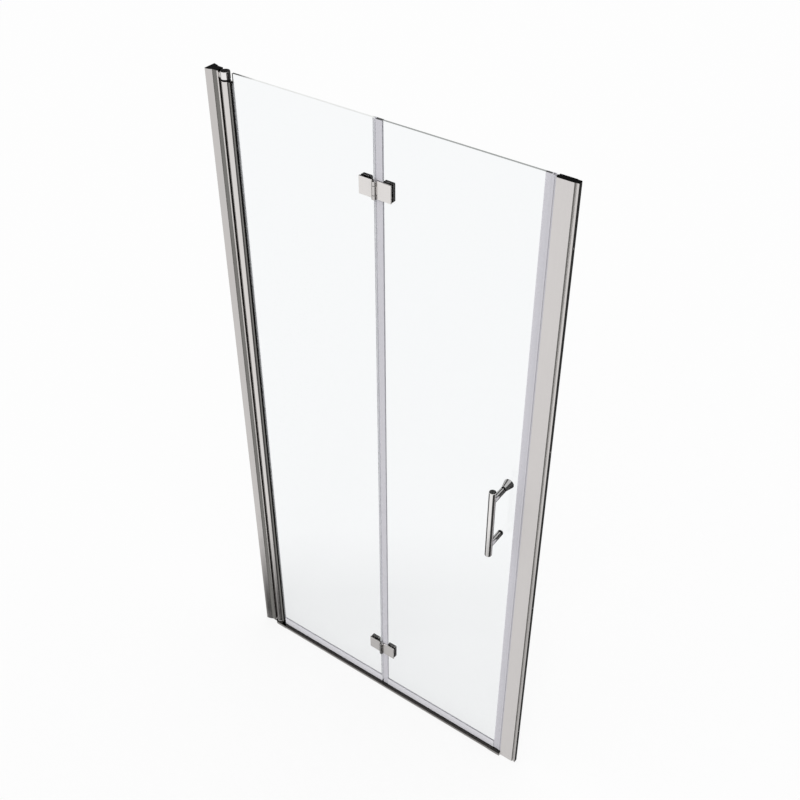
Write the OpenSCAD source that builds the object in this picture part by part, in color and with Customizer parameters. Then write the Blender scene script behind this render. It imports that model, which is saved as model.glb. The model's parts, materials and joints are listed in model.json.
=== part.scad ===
// Bi-fold pivot shower door between two walls, in millimetres.
// X runs from wall to wall, Y from the outside (minus) to the shower side (plus), Z up.
// The origin is on the underside of the threshold rail, midway between the walls and under the glass.

/* [Opening] */
// Distance from wall to wall
opening_w = 980; // [920:1:1040]
// Height of the frame and of the top edge of the glass
door_h = 1950; // [1850:1:2000]
// How far the fold lies from the middle of the door leaf, to the right when positive
fold_shift = -5.5; // [-60:0.5:60]

/* [Left wall channel] */
// Depth of the left channel where it meets the wall
left_channel_d = 33; // [30:0.5:38]
// Reach of the left channel from the wall
left_channel_reach = 18; // [15:0.5:22]
// How far the sides of the left channel bow outwards
left_channel_bow = 0.7; // [0.3:0.1:1.2]
// Thickness of the lips at the left channel's mouth
left_channel_lip_t = 0.9; // [0.7:0.1:1.5]
// Thickness of the left channel's sides at the wall
left_channel_side_t = 2; // [1.5:0.1:2.5]

/* [Jamb] */
// Depth of the pivot jamb, from its front face to its back face
jamb_d = 20; // [18:0.5:22]
// Reach of the jamb from the wall
jamb_reach = 34.5; // [33:0.5:40]
// How far the middle of the jamb lies behind the middle of the glass
jamb_back = 2; // [0:0.5:3]
// Wall thickness of the jamb
jamb_t = 1.4; // [1.2:0.1:2]
// Gap between the jamb and the web of its channel, for adjustment
jamb_wall_gap = 2.4; // [1.5:0.1:4]
// Radius of the bead along the front corner of the jamb
jamb_bead_r = 1.75; // [1.5:0.05:3]
// How far the bead stands in front of the jamb
jamb_bead_proud = 0.4; // [0.2:0.1:0.8]
// Depth of the cove beside the bead
jamb_cove = 1.2; // [0.6:0.1:1.5]
// Depth of the hollow that faces the pivot post
jamb_dish = 1; // [0.5:0.1:1.5]

/* [Closing side] */
// Reach of the closing profile from the right wall
closing_reach = 50; // [46:0.5:60]
// Width of the closing profile
closing_w = 40.2; // [36:0.1:44]
// Depth of the closing profile
closing_d = 15.5; // [14.5:0.1:18]
// How far the face of the closing profile stands in front of the middle of the glass
closing_front = 8.5; // [8:0.1:9.5]
// Wall thickness of the closing profile
closing_t = 1.3; // [1.1:0.1:1.6]
// Reach of the right channel from the wall
right_channel_reach = 35; // [30:0.5:38]
// Wall thickness of the right channel
right_channel_t = 1.4; // [1.2:0.1:1.8]

/* [Frame details] */
// Thickness of the web that lies on the wall, in both channels
web_t = 1.6; // [1.4:0.1:2.5]
// Thickness of the top caps
cap_t = 1.5; // [1:0.1:3]
// Depth of the plugs under the top caps
cap_plug = 4; // [3:0.5:6]
// Radius of the holes for the wall screws
wall_hole_r = 3; // [2.5:0.1:4]
// Distance between the outer pair of wall holes
wall_hole_outer = 1650; // [1400:10:1750]
// Distance between the inner pair of wall holes
wall_hole_inner = 550; // [300:10:800]
// Distance of the outer fixing screws from the ends of the frame
frame_screw_end = 200; // [100:5:300]
// Radius of the fixing screws' shanks
frame_screw_r = 1.75; // [1.5:0.05:2.2]
// Radius of the fixing screws' heads
frame_head_r = 3.5; // [3:0.1:4]
// Height of the fixing screws' heads
frame_head_t = 2.2; // [1.8:0.1:3]

/* [Pivots] */
// Radius of the pivot pins
pin_r = 3; // [2.5:0.1:4]
// Radius of the pivot blocks
block_r = 12; // [10:0.1:13]
// Width of the necks that join the pivot blocks to the jamb
neck_d = 9; // [7:0.5:11]
// Height of the top pivot block
top_block_h = 18; // [14:0.5:24]
// Open gap between the top pivot block and the pivot post's bush
top_gap = 4; // [2:0.5:6]
// Height of the bottom pivot block
base_h = 18; // [15:0.5:24]
// Thickness of the thrust washer
washer_t = 0.7; // [0.5:0.1:1.5]
// Thickness of the bushes' flanges
flange_t = 1; // [0.8:0.1:2]
// Depth of the bushes inside the pivot post
bush_depth = 25; // [20:1:35]
// Length of the pins inside the bushes
pin_depth = 22; // [15:1:24]

/* [Pivot post] */
// Radius of the round nose of the pivot post
post_r = 11.75; // [11:0.05:13]
// Gap between the nose and the hollow in the jamb
post_gap = 5.75; // [4.5:0.05:6.5]
// Wall thickness of the nose
post_t = 2.25; // [1.8:0.05:2.6]
// Thickness of the wall between the nose's bore and the edge of the glass
post_web = 1.5; // [1.2:0.1:2]
// How deep the post grips the glass
post_grip = 8; // [7:0.5:14]
// Thickness of the jaws that grip the glass
post_jaw_t = 1.3; // [1.1:0.1:1.8]
// Width of the thick lips at the ends of the jaws
post_lip_w = 4.5; // [3:0.5:6]
// How far those lips stand out from the jaws
post_lip = 2.4; // [1.8:0.1:3]
// Thickness of the glazing gasket on each side of the glass
post_gasket_t = 1.5; // [1:0.1:2]
// How far the gasket shows beyond the jaws on the outside
post_gasket_lip = 1.6; // [1.2:0.1:5]

/* [Glass] */
// Thickness of the glass
glass_t = 6; // [5:0.5:8]
// Width of the ground arris on the upright edges
glass_arris = 0.4; // [0.2:0.1:0.8]
// Height of the bottom edge of the glass above the tray
glass_z0 = 16; // [15:0.5:19]
// Gap between the two panes
fold_gap = 6.6; // [5:0.1:8]
// Width of the notches beside the pivot blocks
corner_notch = 12.5; // [11:0.5:14]
// Radius of the holes for the hinge bosses
glass_hole_r = 6.2; // [5.9:0.1:7]
// Radius of the holes for the handle
handle_hole_r = 5; // [4.2:0.1:6]

/* [Seals] */
// Wall thickness of the upright clip-on seals
seal_t = 1.1; // [0.8:0.1:1.3]
// Clearance between seals or pads and the glass
seal_fit = 0.1; // [0.05:0.05:0.2]
// Length of the fold seal's legs on the glass
fold_seal_leg = 17.2; // [14:0.1:22]
// Reach of the fold seal's lip behind the other pane
fold_seal_lip = 12.3; // [9:0.1:16]
// Length of the closing seal's legs on the glass
magnet_leg = 14.3; // [10:0.1:20]
// Width of the door's magnet housing
magnet_housing_w = 6.4; // [5:0.1:8]
// Depth of both magnet housings
magnet_housing_d = 10; // [8:0.1:11]
// Gap between the two magnet housings with the door shut
magnet_gap = 0.9; // [0.6:0.1:2]
// Width of the frame's magnet housing
frame_seal_w = 4.6; // [4:0.1:6]
// Wall thickness of the magnet housings
housing_t = 1.1; // [0.9:0.1:1.2]
// Wall thickness of the drip seals
drip_t = 1.4; // [1:0.1:1.8]
// Height of the drip seals' legs on the glass
drip_leg = 22.5; // [15:0.5:30]
// Gap between the drip seals and the threshold rail
drip_gap = 1.3; // [0.8:0.1:2]
// Reach of the drip seals' fin towards the shower
drip_fin = 5; // [3:0.5:8]
// Gap between the ends of the drip seals and the upright seals beside them
drip_end_gap = 1; // [1:0.1:4]

/* [Threshold rail] */
// Depth of the threshold rail
rail_d = 31; // [28:0.5:40]
// Height of the threshold rail
rail_h = 10; // [9:0.5:12]
// Wall thickness of the threshold rail
rail_t = 1.4; // [1.2:0.1:1.8]
// Setback of the lower half of the rail's face
rail_step = 1; // [0.5:0.1:1.2]
// Fall of the rail's top towards the shower
rail_fall = 2; // [1:0.1:3]
// Length of the left end piece of the rail, from the pivot axis
rail_end_left_w = 34.5; // [30:0.5:60]
// Length of the right end piece of the rail
rail_end_right_w = 40; // [30:0.5:60]
// Length of the spigots that plug into the rail
rail_spigot = 12; // [8:1:20]

/* [Fold hinges] */
// Distance of the hinges from the top and bottom edges of the glass
hinge_inset = 168; // [120:1:260]
// Height of the hinge leaves
leaf_h = 45; // [40:0.1:60]
// Width of the hinge leaves
leaf_w = 38.2; // [36:0.1:50]
// Thickness of the hinge leaves
leaf_t = 4; // [3.5:0.1:5]
// Bevel along the edges of the leaves
leaf_bevel = 0.4; // [0.2:0.1:0.8]
// Thickness of the pads between leaves and glass
front_pad_t = 1.5; // [1:0.1:2]
// Radius of the knuckles
knuckle_r = 6; // [5.5:0.1:6.5]
// How far the fold axis lies in front of the leaves' faces
knuckle_proud = 1.5; // [1:0.1:2.5]
// Height of the middle knuckle
knuckle_mid_h = 22.5; // [14:0.5:24]
// Gap between knuckles, and between a knuckle and the other leaf
knuckle_gap = 0.3; // [0.3:0.05:0.6]
// Radius of the hinge pins
fold_pin_r = 2.5; // [2:0.1:3]
// Wall thickness of the bushes in the middle knuckle
fold_bush_t = 1.2; // [0.8:0.1:1.5]
// Thickness of their flanges between the knuckles
fold_flange_t = 0.8; // [0.5:0.1:1.2]
// Width of the clamp plates behind the glass
clamp_w = 27.5; // [22:0.5:30]
// Height of the clamp plates
clamp_h = 46.5; // [38:0.5:58]
// Thickness of the clamp plates
clamp_t = 8; // [6:0.1:10]
// Radius of the clamp plates' corners
clamp_corner_r = 3; // [2:0.5:6]
// Thickness of the pads between clamp plates and glass
back_pad_t = 1.3; // [1:0.1:2]
// Distance between the two screws of a leaf
clamp_screw_pitch = 21; // [18:0.5:22]
// Radius of the clamp screws
clamp_screw_r = 2.5; // [2:0.1:2.8]
// Radius of the clamp screws' heads
clamp_head_r = 4.8; // [4.4:0.1:5.2]
// Radius of the threaded bosses on the leaves
boss_r = 4.5; // [4:0.1:4.8]

/* [Handle] */
// Distance of the handle from the closing edge of the glass
handle_inset = 52; // [45:1:90]
// Height of the middle of the handle above the tray
handle_z = 992; // [900:1:1100]
// Length of the handle bar
handle_len = 220; // [200:1:400]
// Distance of the handle posts from the ends of the bar
handle_end = 33.5; // [25:0.5:60]
// Radius of the handle bar
bar_r = 9.4; // [8.2:0.1:10]
// Radius of the handle posts
handle_post_r = 7.8; // [6.5:0.1:8]
// Distance from the glass to the axis of the handle bar
handle_off = 51.5; // [45:0.5:60]
// Thickness of the rings between metal and glass
ring_t = 1.6; // [0.8:0.1:2]
// Radius of the knob's outer end
knob_r = 13.9; // [11:0.1:18]
// Length of the knob
knob_len = 24.9; // [20:0.1:35]
// Radius of the stud and screw through the glass
stud_r = 3; // [2.5:0.1:3.2]
// Depth of the stud in the post and in the knob
stud_depth = 15; // [10:0.5:18]

/* [Hidden] */
$fn = 64;
// Segments of the wide shallow arcs
wide_fn = 360;

// Clearances
slide_fit = 0.2;
push_fit = 0.05;
run_fit = 0.05;
run_gap = 0.3;
end_gap = 0.3;
cut_over = 1;

// Small details that go with one piece only
neck_fit = 0.5;
bulb_half = 2.2;
bulb_neck_half = 0.6;
bulb_foot_half = 2.5;
bulb_foot_t = 1.6;
socket_r = 1.7;
socket_depth = 2;
rail_bevel = 0.6;
drip_fin_t = 1.2;
knuckle_bevel = 0.3;
fold_flange_in = 0.3;
fold_bush_split = 0.6;
right_dip = 2.4;
right_dip_w = 1.2;
bar_bevel = 0.8;
knob_bevel = 0.6;
lower_head_r = 6.5;
lower_head_t = 2.5;

// Finishes
bright_metal = "#cbc8c4";
chrome_metal = "#d6d4d1";
steel = "#b9b8b6";
clear_pane = [0.86, 0.91, 0.92, 0.3];
clear_seal = [0.78, 0.78, 0.83, 0.8];
black_plastic = "#1b1b1b";
black_rubber = "#141414";
magnet_grey = "#4a4543";

// Left frame
wall_l = -opening_w / 2;
left_half = left_channel_d / 2;
mouth_in_half = jamb_d / 2 + slide_fit;
mouth_half = mouth_in_half + left_channel_lip_t;
jamb_x0 = wall_l + web_t + jamb_wall_gap;
jamb_x1 = wall_l + jamb_reach;
jamb_front = jamb_back - jamb_d / 2;
jamb_rear = jamb_back + jamb_d / 2;
cove_x0 = wall_l + left_channel_reach + end_gap;
cove_x1 = jamb_x1 - 2 * jamb_bead_r;
jamb_front_t = jamb_t + jamb_cove;
bead_x = jamb_x1 - jamb_bead_r;
bead_front_y = jamb_front - jamb_bead_proud + jamb_bead_r;
bead_rear_y = jamb_rear - jamb_bead_r;

// Pivot axis and post
dish_r = post_r + post_gap;
pivot_x = jamb_x1 + dish_r - jamb_dish;
jamb_cavity_x1 = pivot_x - dish_r - jamb_t;
bore_r = post_r - post_t;
glass_l = pivot_x + bore_r + post_web;
slot_half = glass_t / 2 + post_gasket_t;
jaw_half = slot_half + post_jaw_t;
lip_half = jaw_half + post_lip;
jaw_end = glass_l + post_grip;
post_z0 = base_h + washer_t + run_gap + flange_t;
post_z1 = door_h - top_block_h - top_gap - flange_t;
cap_z = door_h - cap_t;

// Right frame
wall_r = opening_w / 2;
closing_x0 = wall_r - closing_reach;
closing_x1 = closing_x0 + closing_w;
closing_y0 = -closing_front;
closing_y1 = closing_y0 + closing_d;
right_channel_x0 = wall_r - right_channel_reach;
right_channel_y0 = closing_y0 + closing_t + slide_fit;
right_channel_y1 = closing_y1 - closing_t - slide_fit;

// Threshold rail
rail_x0 = jamb_x1 + neck_fit;
rail_x1 = closing_x0 - end_gap;
rail_mid_x0 = pivot_x + rail_end_left_w;
rail_mid_x1 = rail_x1 - rail_end_right_w;
rail_y0 = -rail_d / 2;
rail_y1 = rail_d / 2;

// Panes
pane_half = glass_t / 2;
fold_x = (pivot_x + closing_x0) / 2 + fold_shift;
pane_1_x1 = fold_x - fold_gap / 2;
pane_2_x0 = fold_x + fold_gap / 2;
pane_2_x1 = closing_x0 - frame_seal_w - magnet_gap - magnet_housing_w - seal_t - seal_fit;
leg_in = pane_half + seal_fit;
leg_out = leg_in + seal_t;
drip_out = leg_in + drip_t;
drip_z0 = rail_h + drip_gap;
drip_z1 = glass_z0 + drip_leg;
drip_web_z1 = glass_z0 - seal_fit;
drip_web_z0 = drip_web_z1 - drip_t;

// Fold hinges
leaf_back = -pane_half - front_pad_t;
leaf_front = leaf_back - leaf_t;
fold_y = leaf_front - knuckle_proud;
leaf_gap = knuckle_r + knuckle_gap;
fold_top_z = door_h - hinge_inset;
fold_bottom_z = glass_z0 + hinge_inset;
leaf_half_h = leaf_h / 2;
mid_half_h = knuckle_mid_h / 2;
clamp_front = pane_half + back_pad_t;
clamp_back = clamp_front + clamp_t;
clamp_inset = leaf_w - clamp_w;
left_clamp_x1 = fold_x - leaf_gap - clamp_inset;
right_clamp_x0 = fold_x + leaf_gap + clamp_inset;
left_screw_x = left_clamp_x1 - clamp_w / 2;
right_screw_x = right_clamp_x0 + clamp_w / 2;
boss_end = pane_half - seal_fit;
clamp_head_t = clamp_head_r - clamp_screw_r;
screw_tip = leaf_back - leaf_t / 2;

// Handle
handle_x = pane_2_x1 - handle_inset;
bar_y = -pane_half - handle_off;
handle_z1 = handle_z + handle_len / 2 - handle_end;
handle_z0 = handle_z - handle_len / 2 + handle_end;
ring_front = -leg_in - ring_t;
ring_back = leg_in + ring_t;

// Solid with an XY outline, from z0 to z1
module upright(z0, z1) {
    translate([0, 0, z0]) linear_extrude(z1 - z0) children();
}

// Solid with a YZ outline, from x0 to x1
module along_x(x0, x1) {
    translate([x0, 0, 0]) rotate([90, 0, 90]) linear_extrude(x1 - x0) children();
}

// Round rod along Y
module rod_y(x, z, y0, y1, r) {
    translate([x, y0, z]) rotate([-90, 0, 0]) cylinder(r = r, h = y1 - y0);
}

// Cone along Y, with radius r0 at y0 and r1 at y1
module cone_y(x, z, y0, y1, r0, r1) {
    translate([x, y0, z]) rotate([-90, 0, 0]) cylinder(r1 = r0, r2 = r1, h = y1 - y0);
}

// Upright rod with bevelled ends
module bevel_rod(x, y, z0, z1, r, bevel) {
    translate([x, y, 0]) rotate_extrude()
        polygon([[0, z0], [r - bevel, z0], [r, z0 + bevel], [r, z1 - bevel], [r - bevel, z1], [0, z1]]);
}

// Flat outline between two corners
module rect(x0, x1, y0, y1) {
    translate([x0, y0]) square([x1 - x0, y1 - y0]);
}

// Box between two corners
module block(x0, x1, y0, y1, z0, z1) {
    translate([x0, y0, z0]) cube([x1 - x0, y1 - y0, z1 - z0]);
}

// Plate in the XZ plane with round corners
module round_plate(x0, x1, y0, y1, z0, z1, r) {
    block(x0 + r, x1 - r, y0, y1, z0, z1);
    block(x0, x1, y0, y1, z0 + r, z1 - r);
    for (x = [x0 + r, x1 - r], z = [z0 + r, z1 - r]) rod_y(x, z, y0, y1, r);
}

// Plate in the XZ plane with its front edges bevelled
module bevel_plate(x0, x1, y0, y1, z0, z1, c) {
    intersection() {
        upright(z0, z1)
            polygon([[x0, y1], [x0, y0 + c], [x0 + c, y0], [x1 - c, y0], [x1, y0 + c], [x1, y1]]);
        along_x(x0, x1)
            polygon([[y1, z0], [y0 + c, z0], [y0, z0 + c], [y0, z1 - c], [y0 + c, z1], [y1, z1]]);
    }
}

// Holes for the wall screws, through the web between x0 and x1
module wall_holes(x0, x1, y) {
    for (pitch = [wall_hole_outer, wall_hole_inner], side = [-1, 1])
        translate([x0, y, door_h / 2 + side * pitch / 2]) rotate([0, 90, 0])
            cylinder(r = wall_hole_r, h = x1 - x0);
}

// Heights of the fixing screws that lock a profile in its channel
function frame_screw_z() = [frame_screw_end, door_h / 2, door_h - frame_screw_end];

// Outer outline of the left channel, with sides that bow between wall and mouth
module left_channel_outline() {
    chord = [left_channel_reach, mouth_half - left_half];
    chord_len = norm(chord);
    bow_r = chord_len * chord_len / (8 * left_channel_bow) + left_channel_bow / 2;
    inward = [chord[1], -chord[0]] / chord_len;
    bow_c = [left_channel_reach / 2, (left_half + mouth_half) / 2] + inward * (bow_r - left_channel_bow);
    translate([wall_l, jamb_back]) intersection() {
        rect(0, left_channel_reach, -left_channel_d, left_channel_d);
        translate(bow_c) circle(r = bow_r, $fn = wide_fn);
        translate([bow_c[0], -bow_c[1]]) circle(r = bow_r, $fn = wide_fn);
    }
}

module left_channel_section() {
    inner_half = left_half - left_channel_side_t;
    mouth = left_channel_reach + cut_over;
    difference() {
        left_channel_outline();
        translate([wall_l, jamb_back]) polygon([[web_t, -inner_half], [left_channel_reach, -mouth_in_half],
            [mouth, -mouth_in_half], [mouth, mouth_in_half], [left_channel_reach, mouth_in_half],
            [web_t, inner_half]]);
    }
}

// The fixing screws of the jamb stand square to the channel's sloping back side
side_slope = atan((left_half - mouth_half) / left_channel_reach);
jamb_screw_u = left_channel_reach / 2;
jamb_screw_v = (left_half + mouth_half) / 2;

module jamb_screw_frame(z) {
    translate([wall_l + jamb_screw_u, jamb_back + jamb_screw_v, z]) rotate([0, 0, -side_slope]) children();
}

module wall_channel_left() {
    color(bright_metal) difference() {
        upright(0, cap_z) left_channel_section();
        wall_holes(wall_l - cut_over, wall_l + web_t + cut_over, jamb_back);
        for (z = frame_screw_z()) jamb_screw_frame(z) {
            rod_y(0, 0, -jamb_d / 4, jamb_d / 4, frame_screw_r + slide_fit);
            rod_y(0, 0, left_channel_bow - slide_fit, jamb_d / 4, frame_head_r + slide_fit);
        }
    }
}

module jamb_section() {
    difference() {
        union() {
            rect(jamb_x0, bead_x, jamb_front, jamb_rear);
            rect(jamb_x0, jamb_x1, bead_front_y, bead_rear_y);
            translate([bead_x, bead_front_y]) circle(r = jamb_bead_r);
            translate([bead_x, bead_rear_y]) circle(r = jamb_bead_r);
        }
        rect(jamb_x0 + jamb_t, jamb_cavity_x1, jamb_front + jamb_front_t, jamb_rear - jamb_t);
        translate([pivot_x, 0]) circle(r = dish_r);
        cove_cut();
    }
}

// Shallow hollow along the front of the jamb, between the channel's mouth and the bead
module cove_cut() {
    half_w = (cove_x1 - cove_x0) / 2;
    cove_r = (half_w * half_w + jamb_cove * jamb_cove) / (2 * jamb_cove);
    translate([cove_x0 + half_w, jamb_front + jamb_cove - cove_r]) circle(r = cove_r, $fn = wide_fn);
}

module pivot_jamb() {
    color(bright_metal) difference() {
        upright(0, cap_z) jamb_section();
        // Openings for the necks of the pivot blocks, and the groove for the bulb seal between them
        block(jamb_cavity_x1 - cut_over, pivot_x, -neck_d / 2 - neck_fit, neck_d / 2 + neck_fit,
            door_h - top_block_h - neck_fit, door_h);
        block(jamb_cavity_x1 - cut_over, pivot_x, -neck_d / 2 - neck_fit, neck_d / 2 + neck_fit,
            -cut_over, base_h + neck_fit);
        block(jamb_cavity_x1 - cut_over, pivot_x, -bulb_neck_half - push_fit, bulb_neck_half + push_fit,
            -cut_over, door_h);
        for (z = frame_screw_z()) jamb_screw_frame(z)
            rod_y(0, 0, -jamb_d / 2, jamb_d / 4, frame_screw_r + push_fit);
        for (z = block_screw_z())
            rod_y(block_screw_x, z, jamb_back, jamb_rear + cut_over, frame_screw_r + push_fit);
    }
}

module jamb_bulb_seal() {
    foot_x1 = jamb_cavity_x1 - push_fit;
    nose_x = pivot_x - post_r - run_gap;
    color(black_rubber) upright(base_h + 2 * neck_fit, door_h - top_block_h - 2 * neck_fit) {
        rect(foot_x1 - bulb_foot_t, foot_x1, -bulb_foot_half, bulb_foot_half);
        rect(foot_x1 - push_fit, nose_x - bulb_half, -bulb_neck_half, bulb_neck_half);
        intersection() {
            translate([nose_x - bulb_half, 0]) circle(r = bulb_half);
            rect(pivot_x - dish_r + slide_fit, nose_x, -bulb_half, bulb_half);
        }
    }
}

module jamb_top_cap() {
    plug_x0 = jamb_x0 + jamb_t + slide_fit;
    plug_x1 = jamb_cavity_x1 - slide_fit;
    color(black_plastic) {
        upright(cap_z, door_h) difference() {
            union() {
                left_channel_outline();
                rect(jamb_x0, bead_x, jamb_front, jamb_rear);
                rect(jamb_x0, jamb_x1, bead_front_y, bead_rear_y);
                translate([bead_x, bead_front_y]) circle(r = jamb_bead_r);
                translate([bead_x, bead_rear_y]) circle(r = jamb_bead_r);
            }
            translate([pivot_x, 0]) circle(r = dish_r);
        }
        upright(cap_z - cap_plug, cap_z)
            rect(plug_x0, plug_x1, jamb_front + jamb_front_t + slide_fit, jamb_rear - jamb_t - slide_fit);
    }
}

// Pan-head screw along Y in its own frame: head above y = 0, shank below
module pan_screw(shank) {
    rod_y(0, 0, 0, frame_head_t, frame_head_r);
    rod_y(0, 0, -shank, 0, frame_screw_r);
}

module jamb_fixing_screws() {
    seat = left_channel_bow - slide_fit;
    color(steel) for (z = frame_screw_z()) jamb_screw_frame(z) translate([0, seat, 0]) pan_screw(jamb_d / 3);
}

// Shape shared by both pivot blocks: drum round the axis, neck through the jamb's nose, tongue in the jamb
module pivot_block(z0, z1, tongue_z0, tongue_z1) {
    tongue_x0 = jamb_x0 + jamb_t + jamb_wall_gap;
    tongue_x1 = jamb_cavity_x1 - slide_fit;
    bevel_rod(pivot_x, 0, z0, z1, block_r, knuckle_bevel);
    block(tongue_x1 - cut_over, pivot_x, -neck_d / 2, neck_d / 2, max(z0, tongue_z0), tongue_z1);
    block(tongue_x0, tongue_x1, jamb_front + jamb_front_t + slide_fit, jamb_rear - jamb_t - slide_fit,
        tongue_z0, tongue_z1);
}

tongue_gap = 0.5;
top_tongue_z0 = door_h - top_block_h;
top_tongue_z1 = cap_z - cap_plug - tongue_gap;
base_tongue_z0 = base_h / 4;
base_z0 = rail_h + slide_fit;
block_screw_x = (wall_l + left_channel_reach + jamb_cavity_x1) / 2;
block_screw_len = jamb_t + jamb_d / 3;

function block_screw_z() = [(base_tongue_z0 + base_h) / 2, (top_tongue_z0 + top_tongue_z1) / 2];

module block_screw_holes() {
    for (z = block_screw_z())
        rod_y(block_screw_x, z, jamb_rear - block_screw_len - tongue_gap, jamb_rear,
            frame_screw_r + push_fit);
}

module top_pivot_block() {
    color(chrome_metal) difference() {
        pivot_block(door_h - top_block_h, door_h, top_tongue_z0, top_tongue_z1);
        translate([pivot_x, 0, door_h - top_block_h - cut_over])
            cylinder(r = pin_r + push_fit, h = top_pin_hold + cut_over + tongue_gap);
        block_screw_holes();
    }
}

top_pin_hold = top_block_h * 2 / 3;
base_pin_z0 = rail_h / 2;

module top_pivot_pin() {
    bush_z = post_z1 + flange_t;
    block_z = door_h - top_block_h;
    color(steel) bevel_rod(pivot_x, 0, bush_z - pin_depth, block_z + top_pin_hold, pin_r, knuckle_bevel);
}

module bottom_pivot_block() {
    color(chrome_metal) difference() {
        pivot_block(base_z0, base_h, base_tongue_z0, base_h);
        translate([pivot_x, 0, base_z0 - cut_over]) cylinder(r = pin_r + push_fit, h = base_h);
        block_screw_holes();
    }
}

module bottom_pivot_pin() {
    color(steel)
        bevel_rod(pivot_x, 0, base_pin_z0, post_z0 - flange_t + pin_depth, pin_r, knuckle_bevel);
}

module pivot_block_screws() {
    color(steel) for (z = block_screw_z())
        translate([block_screw_x, jamb_rear, z]) pan_screw(block_screw_len);
}

module bottom_thrust_washer() {
    color(black_plastic) translate([pivot_x, 0, base_h]) difference() {
        cylinder(r = block_r * 2 / 3, h = washer_t);
        translate([0, 0, -cut_over]) cylinder(r = pin_r + push_fit, h = washer_t + 2 * cut_over);
    }
}

// Outline of the threshold rail in the YZ plane; step is the setback of the lower half of its face
module rail_outline(step) {
    mid = rail_h / 2;
    polygon([[rail_y0 + step, 0], [rail_y0 + step, mid - step / 2], [rail_y0, mid],
        [rail_y0, rail_h - rail_bevel], [rail_y0 + rail_bevel, rail_h], [rail_d / 6, rail_h],
        [rail_y1, rail_h - rail_fall], [rail_y1, 0]]);
}

// The two hollow chambers of the rail, each smaller by fit all round
module rail_chambers(fit) {
    top = rail_h - rail_fall - rail_t - fit;
    for (side = [-1, 1]) rect(side < 0 ? rail_y0 + rail_step + rail_t + fit : rail_t / 2 + fit,
        side < 0 ? -rail_t / 2 - fit : rail_y1 - rail_t - fit, rail_t + fit, top);
}

module threshold_rail() {
    color(bright_metal) along_x(rail_mid_x0, rail_mid_x1) difference() {
        rail_outline(rail_step);
        rail_chambers(0);
    }
}

// Left end of the rail, rounded about the pivot axis and bored for the foot of the bottom pin
module rail_end_left() {
    color(bright_metal) {
        difference() {
            intersection() {
                along_x(rail_x0, rail_mid_x0) rail_outline(rail_step / 5);
                union() {
                    translate([pivot_x, 0, 0]) cylinder(r = rail_d / 2, h = rail_h);
                    block(pivot_x, rail_mid_x0, rail_y0, rail_y1, 0, rail_h);
                }
            }
            translate([pivot_x, 0, base_pin_z0 - tongue_gap]) cylinder(r = pin_r + push_fit, h = rail_h);
        }
        along_x(rail_mid_x0 - cut_over, rail_mid_x0 + rail_spigot) rail_chambers(slide_fit);
    }
}

module rail_end_right() {
    color(bright_metal) {
        along_x(rail_mid_x1, rail_x1) rail_outline(rail_step / 5);
        along_x(rail_mid_x1 - rail_spigot, rail_mid_x1 + cut_over) rail_chambers(slide_fit);
    }
}

// Right channel, whose front dips behind the edge of the closing profile and slopes out again to the wall
module right_channel_outline() {
    polygon([[right_channel_x0, right_channel_y0], [closing_x1, right_channel_y0],
        [closing_x1 + right_dip_w, right_channel_y0 + right_dip], [wall_r, right_channel_y0],
        [wall_r, right_channel_y1], [right_channel_x0, right_channel_y1]]);
}

module right_channel_inside() {
    inner_y0 = right_channel_y0 + right_channel_t;
    polygon([[right_channel_x0 - cut_over, inner_y0], [right_plug_x1, inner_y0],
        [right_plug_x1 + right_dip_w, inner_y0 + right_dip], [wall_r - web_t, inner_y0 + right_dip / 4],
        [wall_r - web_t, right_channel_y1 - right_channel_t],
        [right_channel_x0 - cut_over, right_channel_y1 - right_channel_t]]);
}

module wall_channel_right() {
    color(bright_metal) difference() {
        upright(0, cap_z) difference() {
            right_channel_outline();
            right_channel_inside();
        }
        wall_holes(wall_r - web_t - cut_over, wall_r + cut_over, right_mid_y);
        for (z = frame_screw_z())
            rod_y(closing_screw_x, z, right_mid_y, closing_y1, frame_screw_r + push_fit);
    }
}

right_mid_y = (right_channel_y0 + right_channel_y1) / 2;
right_plug_x1 = closing_x1 - right_channel_t;
closing_screw_x = (right_channel_x0 + closing_x1) / 2;
// Slot in the closing profile that holds the foot of the frame's seal
foot_neck_half = 1;
foot_head_half = 3;
foot_head_t = 1.5;

module closing_outline() {
    rect(closing_x0, closing_x1, closing_y0, closing_y1);
}

// Chamber along the closing profile that the foot of the frame's seal slides into
module foot_chamber(wall) {
    x = closing_x0 + closing_t;
    half = foot_head_half + slide_fit + wall;
    rect(x, x + foot_head_t + 2 * slide_fit + wall, -half, half);
}

module closing_profile() {
    color(bright_metal) difference() {
        upright(0, cap_z) difference() {
            closing_outline();
            difference() {
                rect(closing_x0 + closing_t, closing_x1 + cut_over, closing_y0 + closing_t,
                    closing_y1 - closing_t);
                foot_chamber(closing_t);
            }
            foot_chamber(0);
            rect(closing_x0 - cut_over, closing_x0 + closing_t + slide_fit, -foot_neck_half - slide_fit,
                foot_neck_half + slide_fit);
        }
        for (z = frame_screw_z())
            rod_y(closing_screw_x, z, right_mid_y, closing_y1 + cut_over, frame_screw_r + slide_fit);
    }
}

module closing_top_cap() {
    color(black_plastic) {
        upright(cap_z, door_h) {
            closing_outline();
            rect(closing_x1 - cut_over, wall_r, right_channel_y0, right_channel_y1);
        }
        upright(cap_z - cap_plug, cap_z) rect(right_channel_x0, right_plug_x1 - slide_fit,
            right_channel_y0 + right_channel_t + slide_fit, right_channel_y1 - right_channel_t - slide_fit);
    }
}

module closing_fixing_screws() {
    color(steel) for (z = frame_screw_z())
        translate([closing_screw_x, closing_y1, z]) pan_screw(closing_d / 3);
}

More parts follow.
